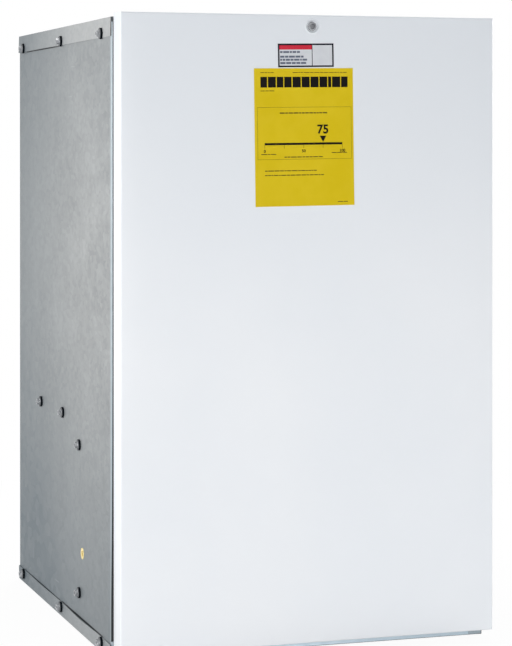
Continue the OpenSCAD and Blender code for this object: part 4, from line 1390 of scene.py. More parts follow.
@dataclass
class Cabinet:
    """Galvanised casing: folded side panels, back, frames, seal and bushings."""

    bend_r: float = 2.2
    sheet: float = 1.0
    cuts: int = 40
    first_cut: float = 12.0
    last_cut: float = 6.0
    half_height: float = 400.0
    setback: float = 2.0
    seal_wide: float = 12.0
    seal_steps: int = 40
    squeeze: tuple[tuple[float, float], ...] = (
        (20.0, 2.7), (60.0, 2.7), (100.0, 2.4), (170.0, 1.7),
        (265.0, 1.1), (405.0, 0.6), (860.0, 0.3),
    )

    def build(self) -> None:
        """Builds the folded panels and dresses what the frame already shapes well."""
        small = Bushing("wire_bushing", -1, "ivory_nylon", Finish.IVORY, 1.5, 2.0, 0.3)
        large = Bushing("power_bushing", 1, "black_nylon", Finish.BLACK_NYLON, 4.0, 2.5, 1.0)
        self.side_panel("left_side_panel", small)
        self.side_panel("right_side_panel", large)
        self.bowed_strips("top_frame", (0.8, 1.4, 0.5, 0.4))
        self.bowed_strips("bottom_frame", (0.5, 1.0, 2.2, 1.0))
        self.door_seal()
        small.build()
        large.build()
        dress(Finish.GALVANISED, "back_panel", "door_bracket", "door_hooks")
        soften(0.3, "door_bracket", "door_hooks")

    def side_panel(self, node: str, bushing: Bushing) -> None:
        """Builds one side panel as a sheet folded at the front and at the rear.

        Args:
            node: The panel's CAD node.
            bushing: The bushing that sits in it, on the panel's own side.
        """
        sign = bushing.sign
        low, high, _ = corners_of(node)
        flanges = solids_of(node)[0]
        web = high[0] if sign > 0 else low[0]
        inward = flanges[:, 0] * -sign
        front = inward[flanges[:, 1] < low[1] + 2].max() * -sign
        rear = inward[flanges[:, 1] > high[1] - 2].max() * -sign
        line = np.array([[front, low[1]], [web, low[1]], [web, high[1]], [rear, high[1]]])
        if sign < 0:
            line = line[::-1]
        outline = bent_strip(line, self.sheet, self.bend_r)
        shell = Shell()
        shell.tube(across(outline, np.linspace(low[2], high[2], 3), (0, 1), 2))
        piece = shell.piece(node + "_folded")
        carve(piece, bushing.cutter(web))
        enter(piece, "cabinet", Finish.SIDE, node)

    def bowed_strips(self, node: str, bows: tuple[float, float, float, float]) -> None:
        """Lets a frame's side strips stand off a little between their screws.

        The frame's own merged mesh is cut across at even steps. A strip's point then moves
        outwards by the bow of its bay, a squared sine between two screws and half of one
        beyond the last, times its share of the way from the fold to the free edge.

        Args:
            node: The frame.
            bows: Bows from the rear end to the front end, in millimetres.
        """
        low, high, _ = corners_of(node)
        base = low[2] < 1
        screws = [seat for seat, out, _, _ in HexScrew.seats("strip_screws") if out[0] < 0]
        stops = sorted(seat[1] for seat in screws if (seat[2] < self.half_height) == base)
        places = np.linspace(low[1] + self.first_cut, high[1] - self.last_cut, self.cuts)
        mesh = self.cut_across(node, [low[1] + self.setback + 0.8, *places])
        x, y, z = points_of(mesh).T
        on_strip = np.abs(x) > high[0] - 1.05
        # Painted shade: the strips' front end faces are near-black, for the gap at their ends.
        ends = (on_strip & (y < low[1] + self.setback + 0.1)).astype(np.float32)
        set_shade(mesh, ends)
        edge = z[on_strip].max() if base else z[on_strip].min()
        fold = self.sheet if base else high[2] - self.sheet
        share = np.clip((z - fold) / (edge - fold), 0, 1) ** 1.5
        knots = np.array([low[1], *stops, high[1]])
        bay = np.clip(np.searchsorted(stops, y), 0, len(stops))
        along = np.clip((y - knots[bay]) / (knots[bay + 1] - knots[bay]), 0, 1)
        turn = np.where(bay == 0, (along + 1) / 2, np.where(bay == len(stops), along / 2, along))
        moved = np.array(bows[::-1])[bay] * np.sin(math.pi * turn) ** 2 * share * on_strip
        set_points(mesh, np.stack([x + np.sign(x) * moved, y, z], -1))
        tidy(mesh)
        piece = linked(node + "_bowed", mesh)
        enter(piece, "cabinet", Finish.FOLDED_EDGE, node)

    @staticmethod
    def cut_across(node: str, places: list[float]) -> bpy.types.Mesh:
        """Merged copy of a CAD node's mesh, cut across at places along y.

        Args:
            node: The CAD node.
            places: Where it is cut across, in millimetres.

        Returns:
            The copy, with extra edges there.
        """
        work = bmesh.new()
        work.from_mesh(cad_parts[node].data)
        bmesh.ops.remove_doubles(work, verts=work.verts, dist=0.005 * MM)
        for place in places:
            whole = [*work.verts, *work.edges, *work.faces]
            bmesh.ops.bisect_plane(
                work, geom=whole, plane_co=(0, place * MM, 0), plane_no=(0, 1, 0)
            )
        mesh = bpy.data.meshes.new(node + "_bowed")
        work.to_mesh(mesh)
        work.free()
        return mesh

    def door_seal(self) -> None:
        """Lays the foam strip round the door's seat, squeezed out more at the foot.

        The strip is a flat ring. Its section runs from the inner edge to the outer one,
        whose end is half an ellipse, and each section lies between a point of the inner
        outline and one of the outer outline.
        """
        low, high, _ = corners_of("gasket")
        wide = self.seal_wide
        heights = np.linspace(0, 1, self.seal_steps)
        z = low[2] + (high[2] - low[2]) * heights
        reach = high[0] + (np.interp(z, *np.array(self.squeeze).T) - 0.8)
        depth = low[2] + wide + (high[2] - low[2] - 2 * wide) * heights
        right = np.stack([reach, z, np.full(self.seal_steps, high[0] - wide), depth], -1)
        left = right[::-1] * [-1, 1, -1, 1]
        x_out, z_out, x_in, z_in = np.vstack([right, left]).T[:, :, None]
        front, rear = low[1], high[1]
        middle, half = (front + rear) / 2, (rear - front) / 2
        angle = np.linspace(-math.pi / 2, math.pi / 2, 9)
        share = np.concatenate([[0.0], 1 - 0.16 * (1 - np.cos(angle)), [0.0]])
        y = np.concatenate([[front], middle + half * np.sin(angle), [rear]])
        x, z = x_in + (x_out - x_in) * share, z_in + (z_out - z_in) * share
        shell = Shell()
        shell.grid(np.stack([x, np.broadcast_to(y, x.shape), z], -1), True, True)
        shell.enter("door_seal", "cabinet", "foam_rubber", Finish.FOAM, "gasket")


@dataclass
class Door:
    """White front door: a pan folded from one sheet, its pad, its screw and its dimple."""

    front_bend: float = 2.2
    rear_bend: float = 1.6
    thick: float = 0.9
    lip: float = 15.0
    toe: float = 24.0
    dimple_r: float = 10.2
    floor_r: float = 6.5
    dimple_h: float = 2.0
    rim_r: float = 9.4
    rim_h: float = 0.7
    screw_hole: float = 3.0
    arc_steps: int = 6
    fine: float = 12.0
    edge: float = 40.0
    notch: float = 40.0
    slot: float = 16.0
    pad_notch: float = 43.0
    pad_notch_z: float = 814.0

    def build(self) -> None:
        """Builds the pan, the pad behind it and the screw in its dimple."""
        self.low, self.high, _ = corners_of("door_panel")
        screw_low, screw_high, self.screw = corners_of("door_screw")
        self.pan()
        self.pad()
        self.door_screw(screw_low[1], screw_high[1])

    def lines(self, low: float, high: float, centre: float) -> Array:
        """Places of the face's grid lines along one axis.

        Args:
            low: Lower edge of the door.
            high: Upper edge.
            centre: Middle of the dimple.

        Returns:
            The places: fine near the dimple, wide elsewhere, both ends inside the bends.
        """
        near = centre + np.linspace(-self.fine, self.fine, 49)
        wide = np.linspace(low + self.edge, high - self.edge, 24)
        wide = wide[np.abs(wide - centre) > self.fine + 8]
        near = near[(near > low + self.front_bend) & (near < high - self.front_bend)]
        ends = [low + self.front_bend, high - self.front_bend]
        return np.unique(np.concatenate([near, wide, ends]).round(3))

    def dimple(self, x: Array, z: Array) -> Array:
        """Depth of the face: a smooth step down to the screw inside a low rolled rim.

        Args:
            x: Places across the door.
            z: Their heights.

        Returns:
            The depths.
        """
        away = np.hypot(x - self.screw[0], z - self.screw[2])
        share = np.clip((self.dimple_r - 1.2 - away) / (self.dimple_r - 1.2 - self.floor_r), 0, 1)
        rim = self.rim_h * np.exp(-(((away - self.rim_r) / 1.1) ** 2))
        return self.dimple_h * share * share * (3 - 2 * share) - rim

    def skin(self, shell: Shell, inner: bool) -> Array:
        """Adds the outer or the inner skin of the pan.

        The wall is a profile carried round the face's border. A profile point is an inset
        from the door's outline and a depth, and a border point moves by that inset, kept
        inside the outline's own inset.

        Args:
            shell: The shell.
            inner: Whether it is the inner skin.

        Returns:
            Numbers of the lip's edge points, round the door.
        """
        t = self.thick if inner else 0.0
        (x0, y0, z0), (x1, y1, z1) = self.low, self.high
        xs = self.lines(x0, x1, self.screw[0])
        zs = self.lines(z0, z1, self.screw[2])
        gx, gz = np.meshgrid(xs, zs, indexing="ij")
        face = np.stack([gx, y0 + t + self.dimple(gx, gz), gz], -1)
        index = shell.grid(face)
        ring = border(index)
        edge = face.reshape(-1, 3)[ring - index[0, 0]]
        front, rear = self.front_bend, self.rear_bend
        cos, sin = (wave(np.linspace(0, math.pi / 2, self.arc_steps)) for wave in (np.cos, np.sin))
        inset = np.concatenate([front - (front - t) * sin, rear - (rear - t) * cos, [self.lip]])
        depth = np.concatenate(
            [y0 + front - (front - t) * cos, y1 - rear + (rear - t) * sin, [y1 - t]]
        )
        bottom = inset.copy()
        bottom[-1] = self.toe
        inset, bottom = inset[1:, None], bottom[1:, None]
        x, z = edge[:, 0], edge[:, 2]
        at_left, at_right = x <= x0 + front + 0.01, x >= x1 - front - 0.01
        at_foot, at_top = z <= z0 + front + 0.01, z >= z1 - front - 0.01
        px = np.where(at_left, x0 + inset, np.where(at_right, x1 - inset, x))
        pz = np.where(at_foot, z0 + bottom, np.where(at_top, z1 - inset, z))
        inside_top = np.where(at_left | at_right, np.minimum(pz, z1 - inset), pz)
        pz = np.where(at_left | at_right, np.maximum(inside_top, z0 + bottom), pz)
        py = np.broadcast_to(depth[1:, None], px.shape)
        wall = shell.add(np.stack([px, py, pz], -1))
        shell.quads(np.vstack([ring[None], wall]), wrap_columns=True)
        return wall[-1]

    def pan(self) -> None:
        """Builds the pan and cuts its screw hole, bracket notch and hook slots."""
        shell = Shell()
        outer = self.skin(shell, inner=False)
        inner = self.skin(shell, inner=True)
        shell.quads(np.vstack([outer[None], inner[None]]), wrap_columns=True)
        piece = shell.piece("door_pan")
        (sx, _, sz), (_, y1, z1) = self.screw, self.high
        cutter = Shell()
        profile = np.array([[self.screw_hole, -6.0], [self.screw_hole, 12.0]])
        cutter.tube(turned(profile, 40, (sx, self.low[1], sz), (0, 1, 0)))
        low = [[sx - self.notch, y1 - 2, z1 - self.lip - 1]]
        high = [[sx + self.notch, y1 + 2, z1 - self.thick - 0.6]]
        for hook in solids_of("door_hooks"):
            _, top, middle = span(hook)
            low.append([middle[0] - self.slot, y1 - 2, top[2] - 4.5])
            high.append([middle[0] + self.slot, y1 + 2, top[2] + 0.3])
        boxes(cutter, np.array(low), np.array(high))
        carve(piece, cutter)
        enter(piece, "door", Finish.ENAMEL, "door_panel")

    def pad(self) -> None:
        """Builds the fibre pad behind the face, with soft edges and pin dimples."""
        notch = (self.screw[0] - self.pad_notch, self.screw[0] + self.pad_notch, self.pad_notch_z)
        FibrePad(
            "door_pad", "door", "door_insulation", "door_fibre", Finish.DOOR_FIBRE, 1, 1, notch
        ).build()

    def door_screw(self, head_y: float, tip_y: float) -> None:
        """Builds the door screw with a low, deeply dished hexagon head.

        Args:
            head_y: Place of its head's end.
            tip_y: Place of its tip.
        """
        head, turn = 3.6, 0.3
        # Painted shade: a grey dished head in the dimple, its washer face left clear.
        shades = (0.45, 0.25, 0.2, 0.0)
        screw = HexScrew(6.2, 0.5, 3.5, 9.0, 2.4, 1.8, 1.4, 48, 3.3, 1.7, shades)
        seat = np.array([self.screw[0], head_y + head, self.screw[2]])
        shell = Shell()
        screw.place(shell, seat, np.array([0, -1, 0]), tip_y - head_y - head, turn)
        shell.enter("door_screw_finished", "door", "painted_screw", Finish.DOOR_SCREW, "door_screw")


@dataclass
class FibrePad:
    """Glass-fibre pad on a sheet, held down by pins whose washers press dimples.

    Its thickness runs along one axis, and its free face looks outward along it. A notch in
    its upper edge is the lowest and highest place across and the lowest height, which is
    infinite where there is none.
    """

    name: str
    body: str
    node: str
    slot: str
    finish: Finish
    axis: int
    outward: int
    notch: tuple[float, float, float] = (0.0, 0.0, math.inf)
    cell: float = 12.0
    edge: float = 5.0
    swell: float = 1.0
    lump: float = 0.25
    pin_pitch: float = 190.0
    pin_reach: float = 14.4
    pin_depth: float = 4.0
    keep: float = 12.0

    def __post_init__(self) -> None:
        """Reads the pad's corners from its CAD node."""
        self.low, self.high, _ = corners_of(self.node)
        self.first, self.second = (axis for axis in range(3) if axis != self.axis)

    def build(self) -> None:
        """Builds the pad and its washers.

        The free face is a grid. Its height is the pad's thickness, less a rounded fall
        within the edge's width, less a dimple at each pin, plus small seeded lumps.
        """
        low, high, axis, first, second = self.low, self.high, self.axis, self.first, self.second
        us, vs = self.stops(first), self.stops(second)
        gu, gv = np.meshgrid(us, vs, indexing="ij")
        gap_u = np.minimum(gu - low[first], high[first] - gu)
        gap_v = np.minimum(gv - low[second], high[second] - gv)
        left, right, foot = self.notch
        gap_notch = np.maximum(np.maximum(left - gu, gu - right), foot - gv)
        gap = np.minimum(np.minimum(gap_u, gap_v), gap_notch)
        fall = np.clip(1 - gap / self.edge, 0, 1)
        thick = high[axis] - low[axis]
        pins = np.stack(np.meshgrid(self.pins(first), self.pins(second)), -1).reshape(-1, 2)
        away = np.full(gu.shape, 1e6)
        for pin in pins:
            away = np.minimum(away, np.hypot(gu - pin[0], gv - pin[1]))
        dent = self.pin_depth * np.exp(-((away / self.pin_reach) ** 2))
        rng = np.random.default_rng(SEED + len(self.name))
        lumps = rng.normal(0, self.lump, gu.shape)
        height = thick - self.swell - dent - self.edge * 0.7 * (1 - np.sqrt(1 - fall**2)) + lumps
        base = low[axis] if self.outward > 0 else high[axis]
        top = np.zeros((*gu.shape, 3))
        top[..., first], top[..., second] = gu, gv
        bottom = top.copy()
        top[..., axis] = base + self.outward * np.clip(height, 1.0, thick)
        bottom[..., axis] = base + self.outward * 0.2
        shell = Shell()
        shell.skins(top, bottom)
        piece = shell.piece(self.name)
        if math.isfinite(foot):
            cutter = Shell()
            boxes(cutter, [left, low[1] - 5, foot], [right, high[1] + 5, high[2] + 5])
            carve(piece, cutter)
        enter(piece, self.body, self.finish, self.node)
        self.washers(top, pins)

    def stops(self, axis: int) -> Array:
        """Grid places along one side, closer together near both ends.

        Args:
            axis: The side's axis.

        Returns:
            The places.
        """
        low, high = self.low[axis], self.high[axis]
        inner = np.linspace(
            low + self.edge, high - self.edge, max(int((high - low) / self.cell), 2)
        )
        near = self.edge * np.array([0, 0.08, 0.25, 0.5, 0.75])
        return np.concatenate([low + near, inner, (high - near)[::-1]])

    def pins(self, axis: int) -> Array:
        """Places of the pins along one side, at even steps near the wanted pitch.

        Args:
            axis: The side's axis.

        Returns:
            The places.
        """
        length = self.high[axis] - self.low[axis]
        count = max(round(length / self.pin_pitch), 1)
        return self.low[axis] + length / count * (np.arange(count) + 0.5)

    def washers(self, top: Array, pins: Array) -> None:
        """Adds the pins' dished washers, seated in the dimples, away from the notch.

        Args:
            top: Grid of the free face's points.
            pins: Places of the pins, two numbers each.
        """
        upper = [[0.05, 1.0], [1.4, 1.0], [1.7, 0.5], [7.5, 0.35], [8.5, 0.6]]
        profile = np.array([*upper, [8.5, 0.2], [7.4, 0], [0.05, 0]])
        left, right, foot = self.notch
        out = np.zeros(3)
        out[self.axis] = self.outward
        shell = Shell()
        for u, v in pins:
            if left - self.keep < u < right + self.keep and v > foot - self.keep:
                continue
            near = np.argmin(np.hypot(top[..., self.first] - u, top[..., self.second] - v))
            seat = np.zeros(3)
            seat[self.first], seat[self.second] = u, v
            seat[self.axis] = top.reshape(-1, 3)[near, self.axis] + self.outward * 0.1
            shell.tube(turned(profile, 24, tuple(seat), tuple(out)))
        shell.enter(self.name + "_washers", self.body, "zinc_screw", Finish.ZINC)


@dataclass
class PrintedLabel:
    """Paper label on the door, with its printed shapes as thin ink on top."""

    node: str
    slot: str
    finish: Finish
    turn: float = 0.0
    lift: float = 0.5
    corner: float = 14.0
    thick: float = 0.18
    ink: float = 0.05
    count: int = 28

    def __post_init__(self) -> None:
        """Reads the label's place and size from its CAD node."""
        low, self.high, self.middle = corners_of(self.node)
        self.width, _, self.tall = self.high - low

    def build(self) -> None:
        """Builds the paper as two skins whose corners lift a little off the door."""
        across_u, up_v = (np.linspace(0, size, self.count) for size in (self.width, self.tall))
        gu, gv = np.meshgrid(across_u, up_v, indexing="ij")
        shell = Shell()
        shell.skins(self.on_paper(gu, gv, self.thick), self.on_paper(gu, gv, 0.0))
        shell.enter(self.node + "_paper", "door", self.slot, self.finish, self.node)

    def on_paper(self, u: Array, v: Array, height: float) -> Array:
        """Place on the paper.

        Args:
            u: Distance from the paper's left edge.
            v: Distance from its lower edge.
            height: Height above the paper's back.

        Returns:
            The points: turned about the label's middle, and lifted near a corner by the
            square of how far the point lies within the corner's reach.
        """
        width, tall = self.width, self.tall
        du, dv = np.minimum(u, width - u), np.minimum(v, tall - v)
        near = np.clip(1 - (du + dv) / self.corner, 0, 1)
        y = self.high[1] - 0.03 - height - self.lift * near**2
        angle = math.radians(self.turn)
        cu, cv = u - width / 2, v - tall / 2
        x = self.middle[0] + cu * math.cos(angle) - cv * math.sin(angle)
        z = self.middle[2] + cu * math.sin(angle) + cv * math.cos(angle)
        return np.stack([x, y, z], -1)

    def print_shapes(self, name: str, finish: Finish, shapes: list[Array]) -> None:
        """Prints flat outlines.

        Args:
            name: Name of the ink piece.
            finish: The ink's finish.
            shapes: Outlines in millimetres from the paper's lower left corner.
        """
        shell = Shell()
        for outline in shapes:
            u, v = outline[:, 0], outline[:, 1]
            top = self.on_paper(u, v, self.thick + self.ink)
            foot = self.on_paper(u, v, self.thick - self.ink)
            shell.tube(np.stack([foot, top]))
        shell.enter(name, "door", self.slot, finish)

    def print_number(self, name: str, text: str, u: float, v: float, size: float) -> None:
        """Prints a plain number.

        Args:
            name: Name of the ink piece.
            text: The number.
            u: Its middle from the paper's left edge.
            v: Its foot from the paper's lower edge.
            size: Height of its figures.
        """
        curve = bpy.data.curves.new(name, "FONT")
        curve.body = text
        curve.align_x = "CENTER"
        curve.size = size * 1.38 * MM
        curve.extrude = self.ink * MM
        curve.offset = size * 0.04 * MM
        figures = linked(name + "_figures", curve)
        mesh = baked(figures)
        bpy.data.objects.remove(figures)
        flat = points_of(mesh)
        seat = self.on_paper(flat[:, 0] + u, flat[:, 1] + v, self.thick)
        seat[:, 1] -= flat[:, 2]
        set_points(mesh, seat)
        tidy(mesh)
        enter(linked(name, mesh), "door", Finish.INK)


def dashes(u0: float, u1: float, v: float, height: float, rng: np.random.Generator) -> list[Array]:
    """Row of short bars of uneven length, as a generic printed row.

    Args:
        u0: Left end.
        u1: Right end.
        v: Foot of the row.
        height: Height of the bars.
        rng: Source of their lengths.

    Returns:
        Outlines of the bars.
    """
    lengths = rng.uniform(2.2, 8.5, 60)
    ends = u0 + np.cumsum(lengths + 0.9)
    starts = ends - lengths - 0.9
    keep = ends < u1 + 3
    return [
        rectangle(start, v, min(end - 0.9, u1), v + height)
        for start, end in zip(starts[keep], ends[keep])
        if start < u1 - 1
    ]


def printed_frame(low: tuple[float, float], high: tuple[float, float], wide: float) -> list[Array]:
    """Outlines of a printed frame's four bars.

    Args:
        low: Its lower left corner.
        high: Its upper right corner.
        wide: Width of its bars, which lie inside.

    Returns:
        The lower, the upper, the left and the right bar.
    """
    (u0, v0), (u1, v1) = low, high
    return [
        rectangle(u0, v0, u1, v0 + wide),
        rectangle(u0, v1 - wide, u1, v1),
        rectangle(u0, v0 + wide, u0 + wide, v1 - wide),
        rectangle(u1 - wide, v0 + wide, u1, v1 - wide),
    ]


@dataclass
class YellowLabel:
    """The large yellow label with generic print: a header, a ruled scale and plain rows.

    Places are millimetres from its left edge and, for drops, below its upper edge.
    """

    height: float = 187.0
    header: tuple[float, ...] = (9.4, 11.2, 9.4, 10.6, 11.8, 11.4, 11.6, 11.2, 4.4, 11.8, 9.4)
    header_left: float = 9.0
    header_gap: float = 1.3
    header_drops: tuple[float, float] = (26.0, 11.5)
    frame_sides: tuple[float, float] = (4.0, 139.0)
    frame_drops: tuple[float, float] = (123.5, 52.65)
    rule: float = 0.35
    scale: tuple[float, float] = (14.0, 125.5)
    scale_drop: float = 102.5
    scale_half: float = 1.5
    share: float = 0.75
    rows: tuple[tuple[float, float, float, float], ...] = (
        (9, 28, 6.3, 0.9), (55, 134, 6.3, 0.9), (9, 29, 31, 0.9), (36, 104, 61.5, 1.7),
        (9, 32, 117, 1.1), (110, 132, 115.5, 1.1), (42, 98, 121, 1.3),
        (14, 88, 139.5, 1.3), (14, 100, 145.5, 1.3), (118, 134, 182.5, 1.0),
    )

    def build(self, rng: np.random.Generator) -> None:
        """Builds the paper and its print; a row is its ends, its drop and its height.

        Args:
            rng: Source of the rows' bars.
        """
        label = PrintedLabel("yellow_sticker", "yellow_paper", Finish.YELLOW, 0.75)
        label.build()
        top, gap = self.height, self.header_gap
        foot, head = (top - drop for drop in self.header_drops)
        ends = self.header_left + np.cumsum(np.array(self.header) + gap)
        blocks = [rectangle(e - w - gap, foot, e - gap, head) for w, e in zip(self.header, ends)]
        (left, right), v, half = self.scale, top - self.scale_drop, self.scale_half
        point = left + (right - left) * self.share
        pointer = np.array([[point, v + 2.2], [point + 4.8, v + 10.6], [point - 4.8, v + 10.6]])
        shapes = [*blocks, rectangle(left, v - half, right, v + half), pointer]
        label.print_shapes("yellow_label_ink", Finish.INK, shapes)
        corners = zip(self.frame_sides, (top - drop for drop in self.frame_drops))
        rules = printed_frame(*corners, self.rule)
        ticks = np.linspace(left, right, 5)
        rules += [rectangle(t - 0.25, v - 6.0, t + 0.25, v - half) for t in ticks]
        for u0, u1, drop, tall in self.rows:
            rules += dashes(u0, u1, top - drop, tall, rng)
        label.print_shapes("yellow_label_rows", Finish.ROW_INK, rules)
        label.print_number("yellow_label_number", "75", point, v + 14.0, 12.0)
        for figure, tick in (("0", ticks[0]), ("50", ticks[2]), ("100", ticks[4])):
            label.print_number(f"yellow_label_mark_{figure}", figure, tick, v - 11.5, 4.0)


@dataclass
class SmallTag:
    """The small tag with a dark border, a red band, a divider and plain grey rows."""

    wide: float = 81.0
    tall: float = 33.0
    margin: float = 0.6
    rim: float = 2.1
    split: float = 49.0
    band: float = 8.6
    row_left: float = 3.6
    row_tall: float = 2.6
    rows: tuple[tuple[float, float], ...] = ((4.9, 46.0), (9.3, 43.0), (13.5, 38.0), (19.8, 32.0))

    def build(self, rng: np.random.Generator) -> None:
        """Builds the paper and its print; a row is its foot and its right end.

        Args:
            rng: Source of the rows' bars.
        """
        tag = PrintedLabel("small_tag", "white_paper", Finish.TAG, 1.0, 0.25, 8.0)
        tag.build()
        edge, inner, wide, tall = self.margin, self.margin + self.rim, self.wide, self.tall
        bars = printed_frame((edge, edge), (wide - edge, tall - edge), self.rim)
        bars.append(rectangle(self.split, inner, self.split + 1.0, tall - inner))
        tag.print_shapes("small_tag_border", Finish.TAG_INK, bars)
        band = rectangle(inner, tall - self.band, self.split, tall - inner)
        tag.print_shapes("small_tag_band", Finish.TAG_RED, [band])
        rows: list[Array] = []
        for v, end in self.rows:
            rows += dashes(self.row_left, end, v, self.row_tall, rng)
        tag.print_shapes("small_tag_rows", Finish.TAG_ROWS, rows)


@dataclass
class Insulation:
    """Fibre pads on the inside of the casing above the blower deck."""

    def build(self) -> None:
        """Builds the pads on both sides and at the rear."""
        for node, axis, outward in (
            ("liner_left", 0, 1), ("liner_right", 0, -1), ("liner_back", 1, -1)
        ):
            FibrePad(
                node + "_pad", "cabinet", node, "glass_fibre", Finish.FIBRE, axis, outward
            ).build()


@dataclass
class Blower:
    """Centrifugal blower: smooth scroll wrapper, wheel, motor and its hardware."""

    steps: int = 180
    cutoff: float = -50.0
    scroll_t: float = 1.2

    def build(self) -> None:
        """Builds the wrapper and dresses the rest."""
        self.wrapper()
        dress(
            Finish.BLOWER_SHEET,
            "scroll_front", "scroll_rear", "inlet_ring_front", "inlet_ring_rear",
        )
        dress(Finish.BLOWER_SHEET, "outlet_flange", "wheel_disc", "wheel_blades", "wheel_rings")
        dress(Finish.GALVANISED, "blower_deck", "blower_legs")
        dress(Finish.ZINC, "motor_band", "motor_arms", "capacitor_strap")
        dress(Finish.MOTOR_PAINT, "motor_shell", "motor_end_bells")
        dress(Finish.WINDING, "motor_stator")
        dress(Finish.STACK, "motor_rotor_core")
        dress(Finish.TURNED, "motor_shaft")
        dress(Finish.CAN, "run_capacitor")
        soften(0.25, "blower_legs", "motor_arms", "outlet_flange")

    def wrapper(self) -> None:
        """Builds the scroll's wrapper as one curved sheet.

        Its radius grows evenly with the turn, from the cut-off round to the outlet, where it
        runs straight down to the deck.
        """
        low, high, _ = corners_of("scroll_wrapper")
        _, _, axis = corners_of("motor_shaft")
        r1 = high[0] - axis[0] - self.scroll_t
        r0 = self.start_radius(axis)
        turn = np.linspace(0, 360 + self.cutoff, self.steps)
        radius = r0 + (r1 - r0) * turn / turn[-1]
        angle = np.radians(self.cutoff - turn)
        curve = np.stack([radius * np.cos(angle), radius * np.sin(angle)], -1)
        inner = np.vstack([curve, [[r1, low[2] - axis[2]]]])
        outer = inner + self.outward(inner) * self.scroll_t
        outline = np.vstack([inner, outer[::-1]]) + axis[[0, 2]]
        shell = Shell()
        shell.tube(across(outline, np.array([low[1], high[1]]), (0, 2), 1))
        lip_x = axis[0] + r0 * math.cos(math.radians(self.cutoff))
        lip_z = axis[2] + r0 * math.sin(math.radians(self.cutoff))
        boxes(shell, [lip_x - self.scroll_t, low[1], low[2]], [lip_x, high[1], lip_z - 1.0])
        finish = Finish.BLOWER_SHEET
        shell.enter("scroll_wrapper_rolled", "cabinet", "blower_sheet", finish, "scroll_wrapper")

    @staticmethod
    def start_radius(axis: Array) -> float:
        """Smallest radius of the scroll, read from the frame's own wrapper.

        Args:
            axis: A point of its axis.

        Returns:
            The radius.
        """
        points = np.concatenate(solids_of("scroll_wrapper"))
        away = np.hypot(points[:, 0] - axis[0], points[:, 2] - axis[2])
        return float(away.min())

    @staticmethod
    def outward(line: Array) -> Array:
        """Unit normals of a line, away from the axis.

        Args:
            line: Points of the line, from the axis.

        Returns:
            A normal for each point.
        """
        run = unit(np.gradient(line, axis=0))
        normal = np.stack([run[:, 1], -run[:, 0]], -1)
        sign = np.sign((normal * line).sum(-1, keepdims=True))
        return normal * np.where(sign == 0, 1, sign)


@dataclass
class Heater:
    """Open-coil elements: coiled resistance wire in ceramic rings on steel frames."""

    wire_r: float = 0.55
    pitch: float = 3.4
    samples: int = 12
    sides: int = 5

    def build(self) -> None:
        """Winds the coils and dresses the frames, rings, studs and switches."""
        rods = solids_of("element_coils")
        groups: dict[int, list[Array]] = {}
        for rod in rods:
            groups.setdefault(round(rod[:, 0].mean() / 100), []).append(rod)
        for number, key in enumerate(sorted(groups)):
            self.coils(number, groups[key])
        dress(Finish.GALVANISED, "heater_plate", "element_frames")
        dress(Finish.CERAMIC, "element_insulators")
        dress(Finish.BRASS, "element_studs")
        dress(Finish.PHENOLIC, "limit_switches")

    def coils(self, number: int, rods: list[Array]) -> None:
        """Winds one element's coils.

        Each is a helix: it turns about its rod's axis once for each pitch along it. Rings of
        points lie square to the helix: one direction is the radius, the other is square to
        both the radius and the run.

        Args:
            number: Number of the element.
            rods: Points of the element's plain rods.
        """
        shell = Shell()
        for rod in rods:
            low, high, centre = span(rod)
            radius = (high[0] - low[0]) / 2 - self.wire_r
            length = high[1] - low[1] - 2 * self.wire_r
            turns = length / self.pitch
            along = np.linspace(0, 1, int(turns * self.samples))
            angle = FULL_TURN * turns * along
            spoke = np.stack([np.cos(angle), 0 * angle, np.sin(angle)], -1)
            path = np.stack([0 * along, low[1] + self.wire_r + length * along, 0 * along], -1)
            path = path + radius * spoke + np.array([centre[0], 0, centre[2]])
            tangent = unit(np.gradient(path, axis=0))
            other = np.cross(tangent, spoke)
            turn = circle(self.sides)[:, None]
            ring = np.cos(turn) * spoke[:, None] + np.sin(turn) * other[:, None]
            shell.tube(path[:, None] + self.wire_r * ring)
        node = "element_coils" if number == 0 else ""
        name = f"element_coil_{number + 1}"
        shell.enter(name, "cabinet", "resistance_wire", Finish.HOT_WIRE, node)


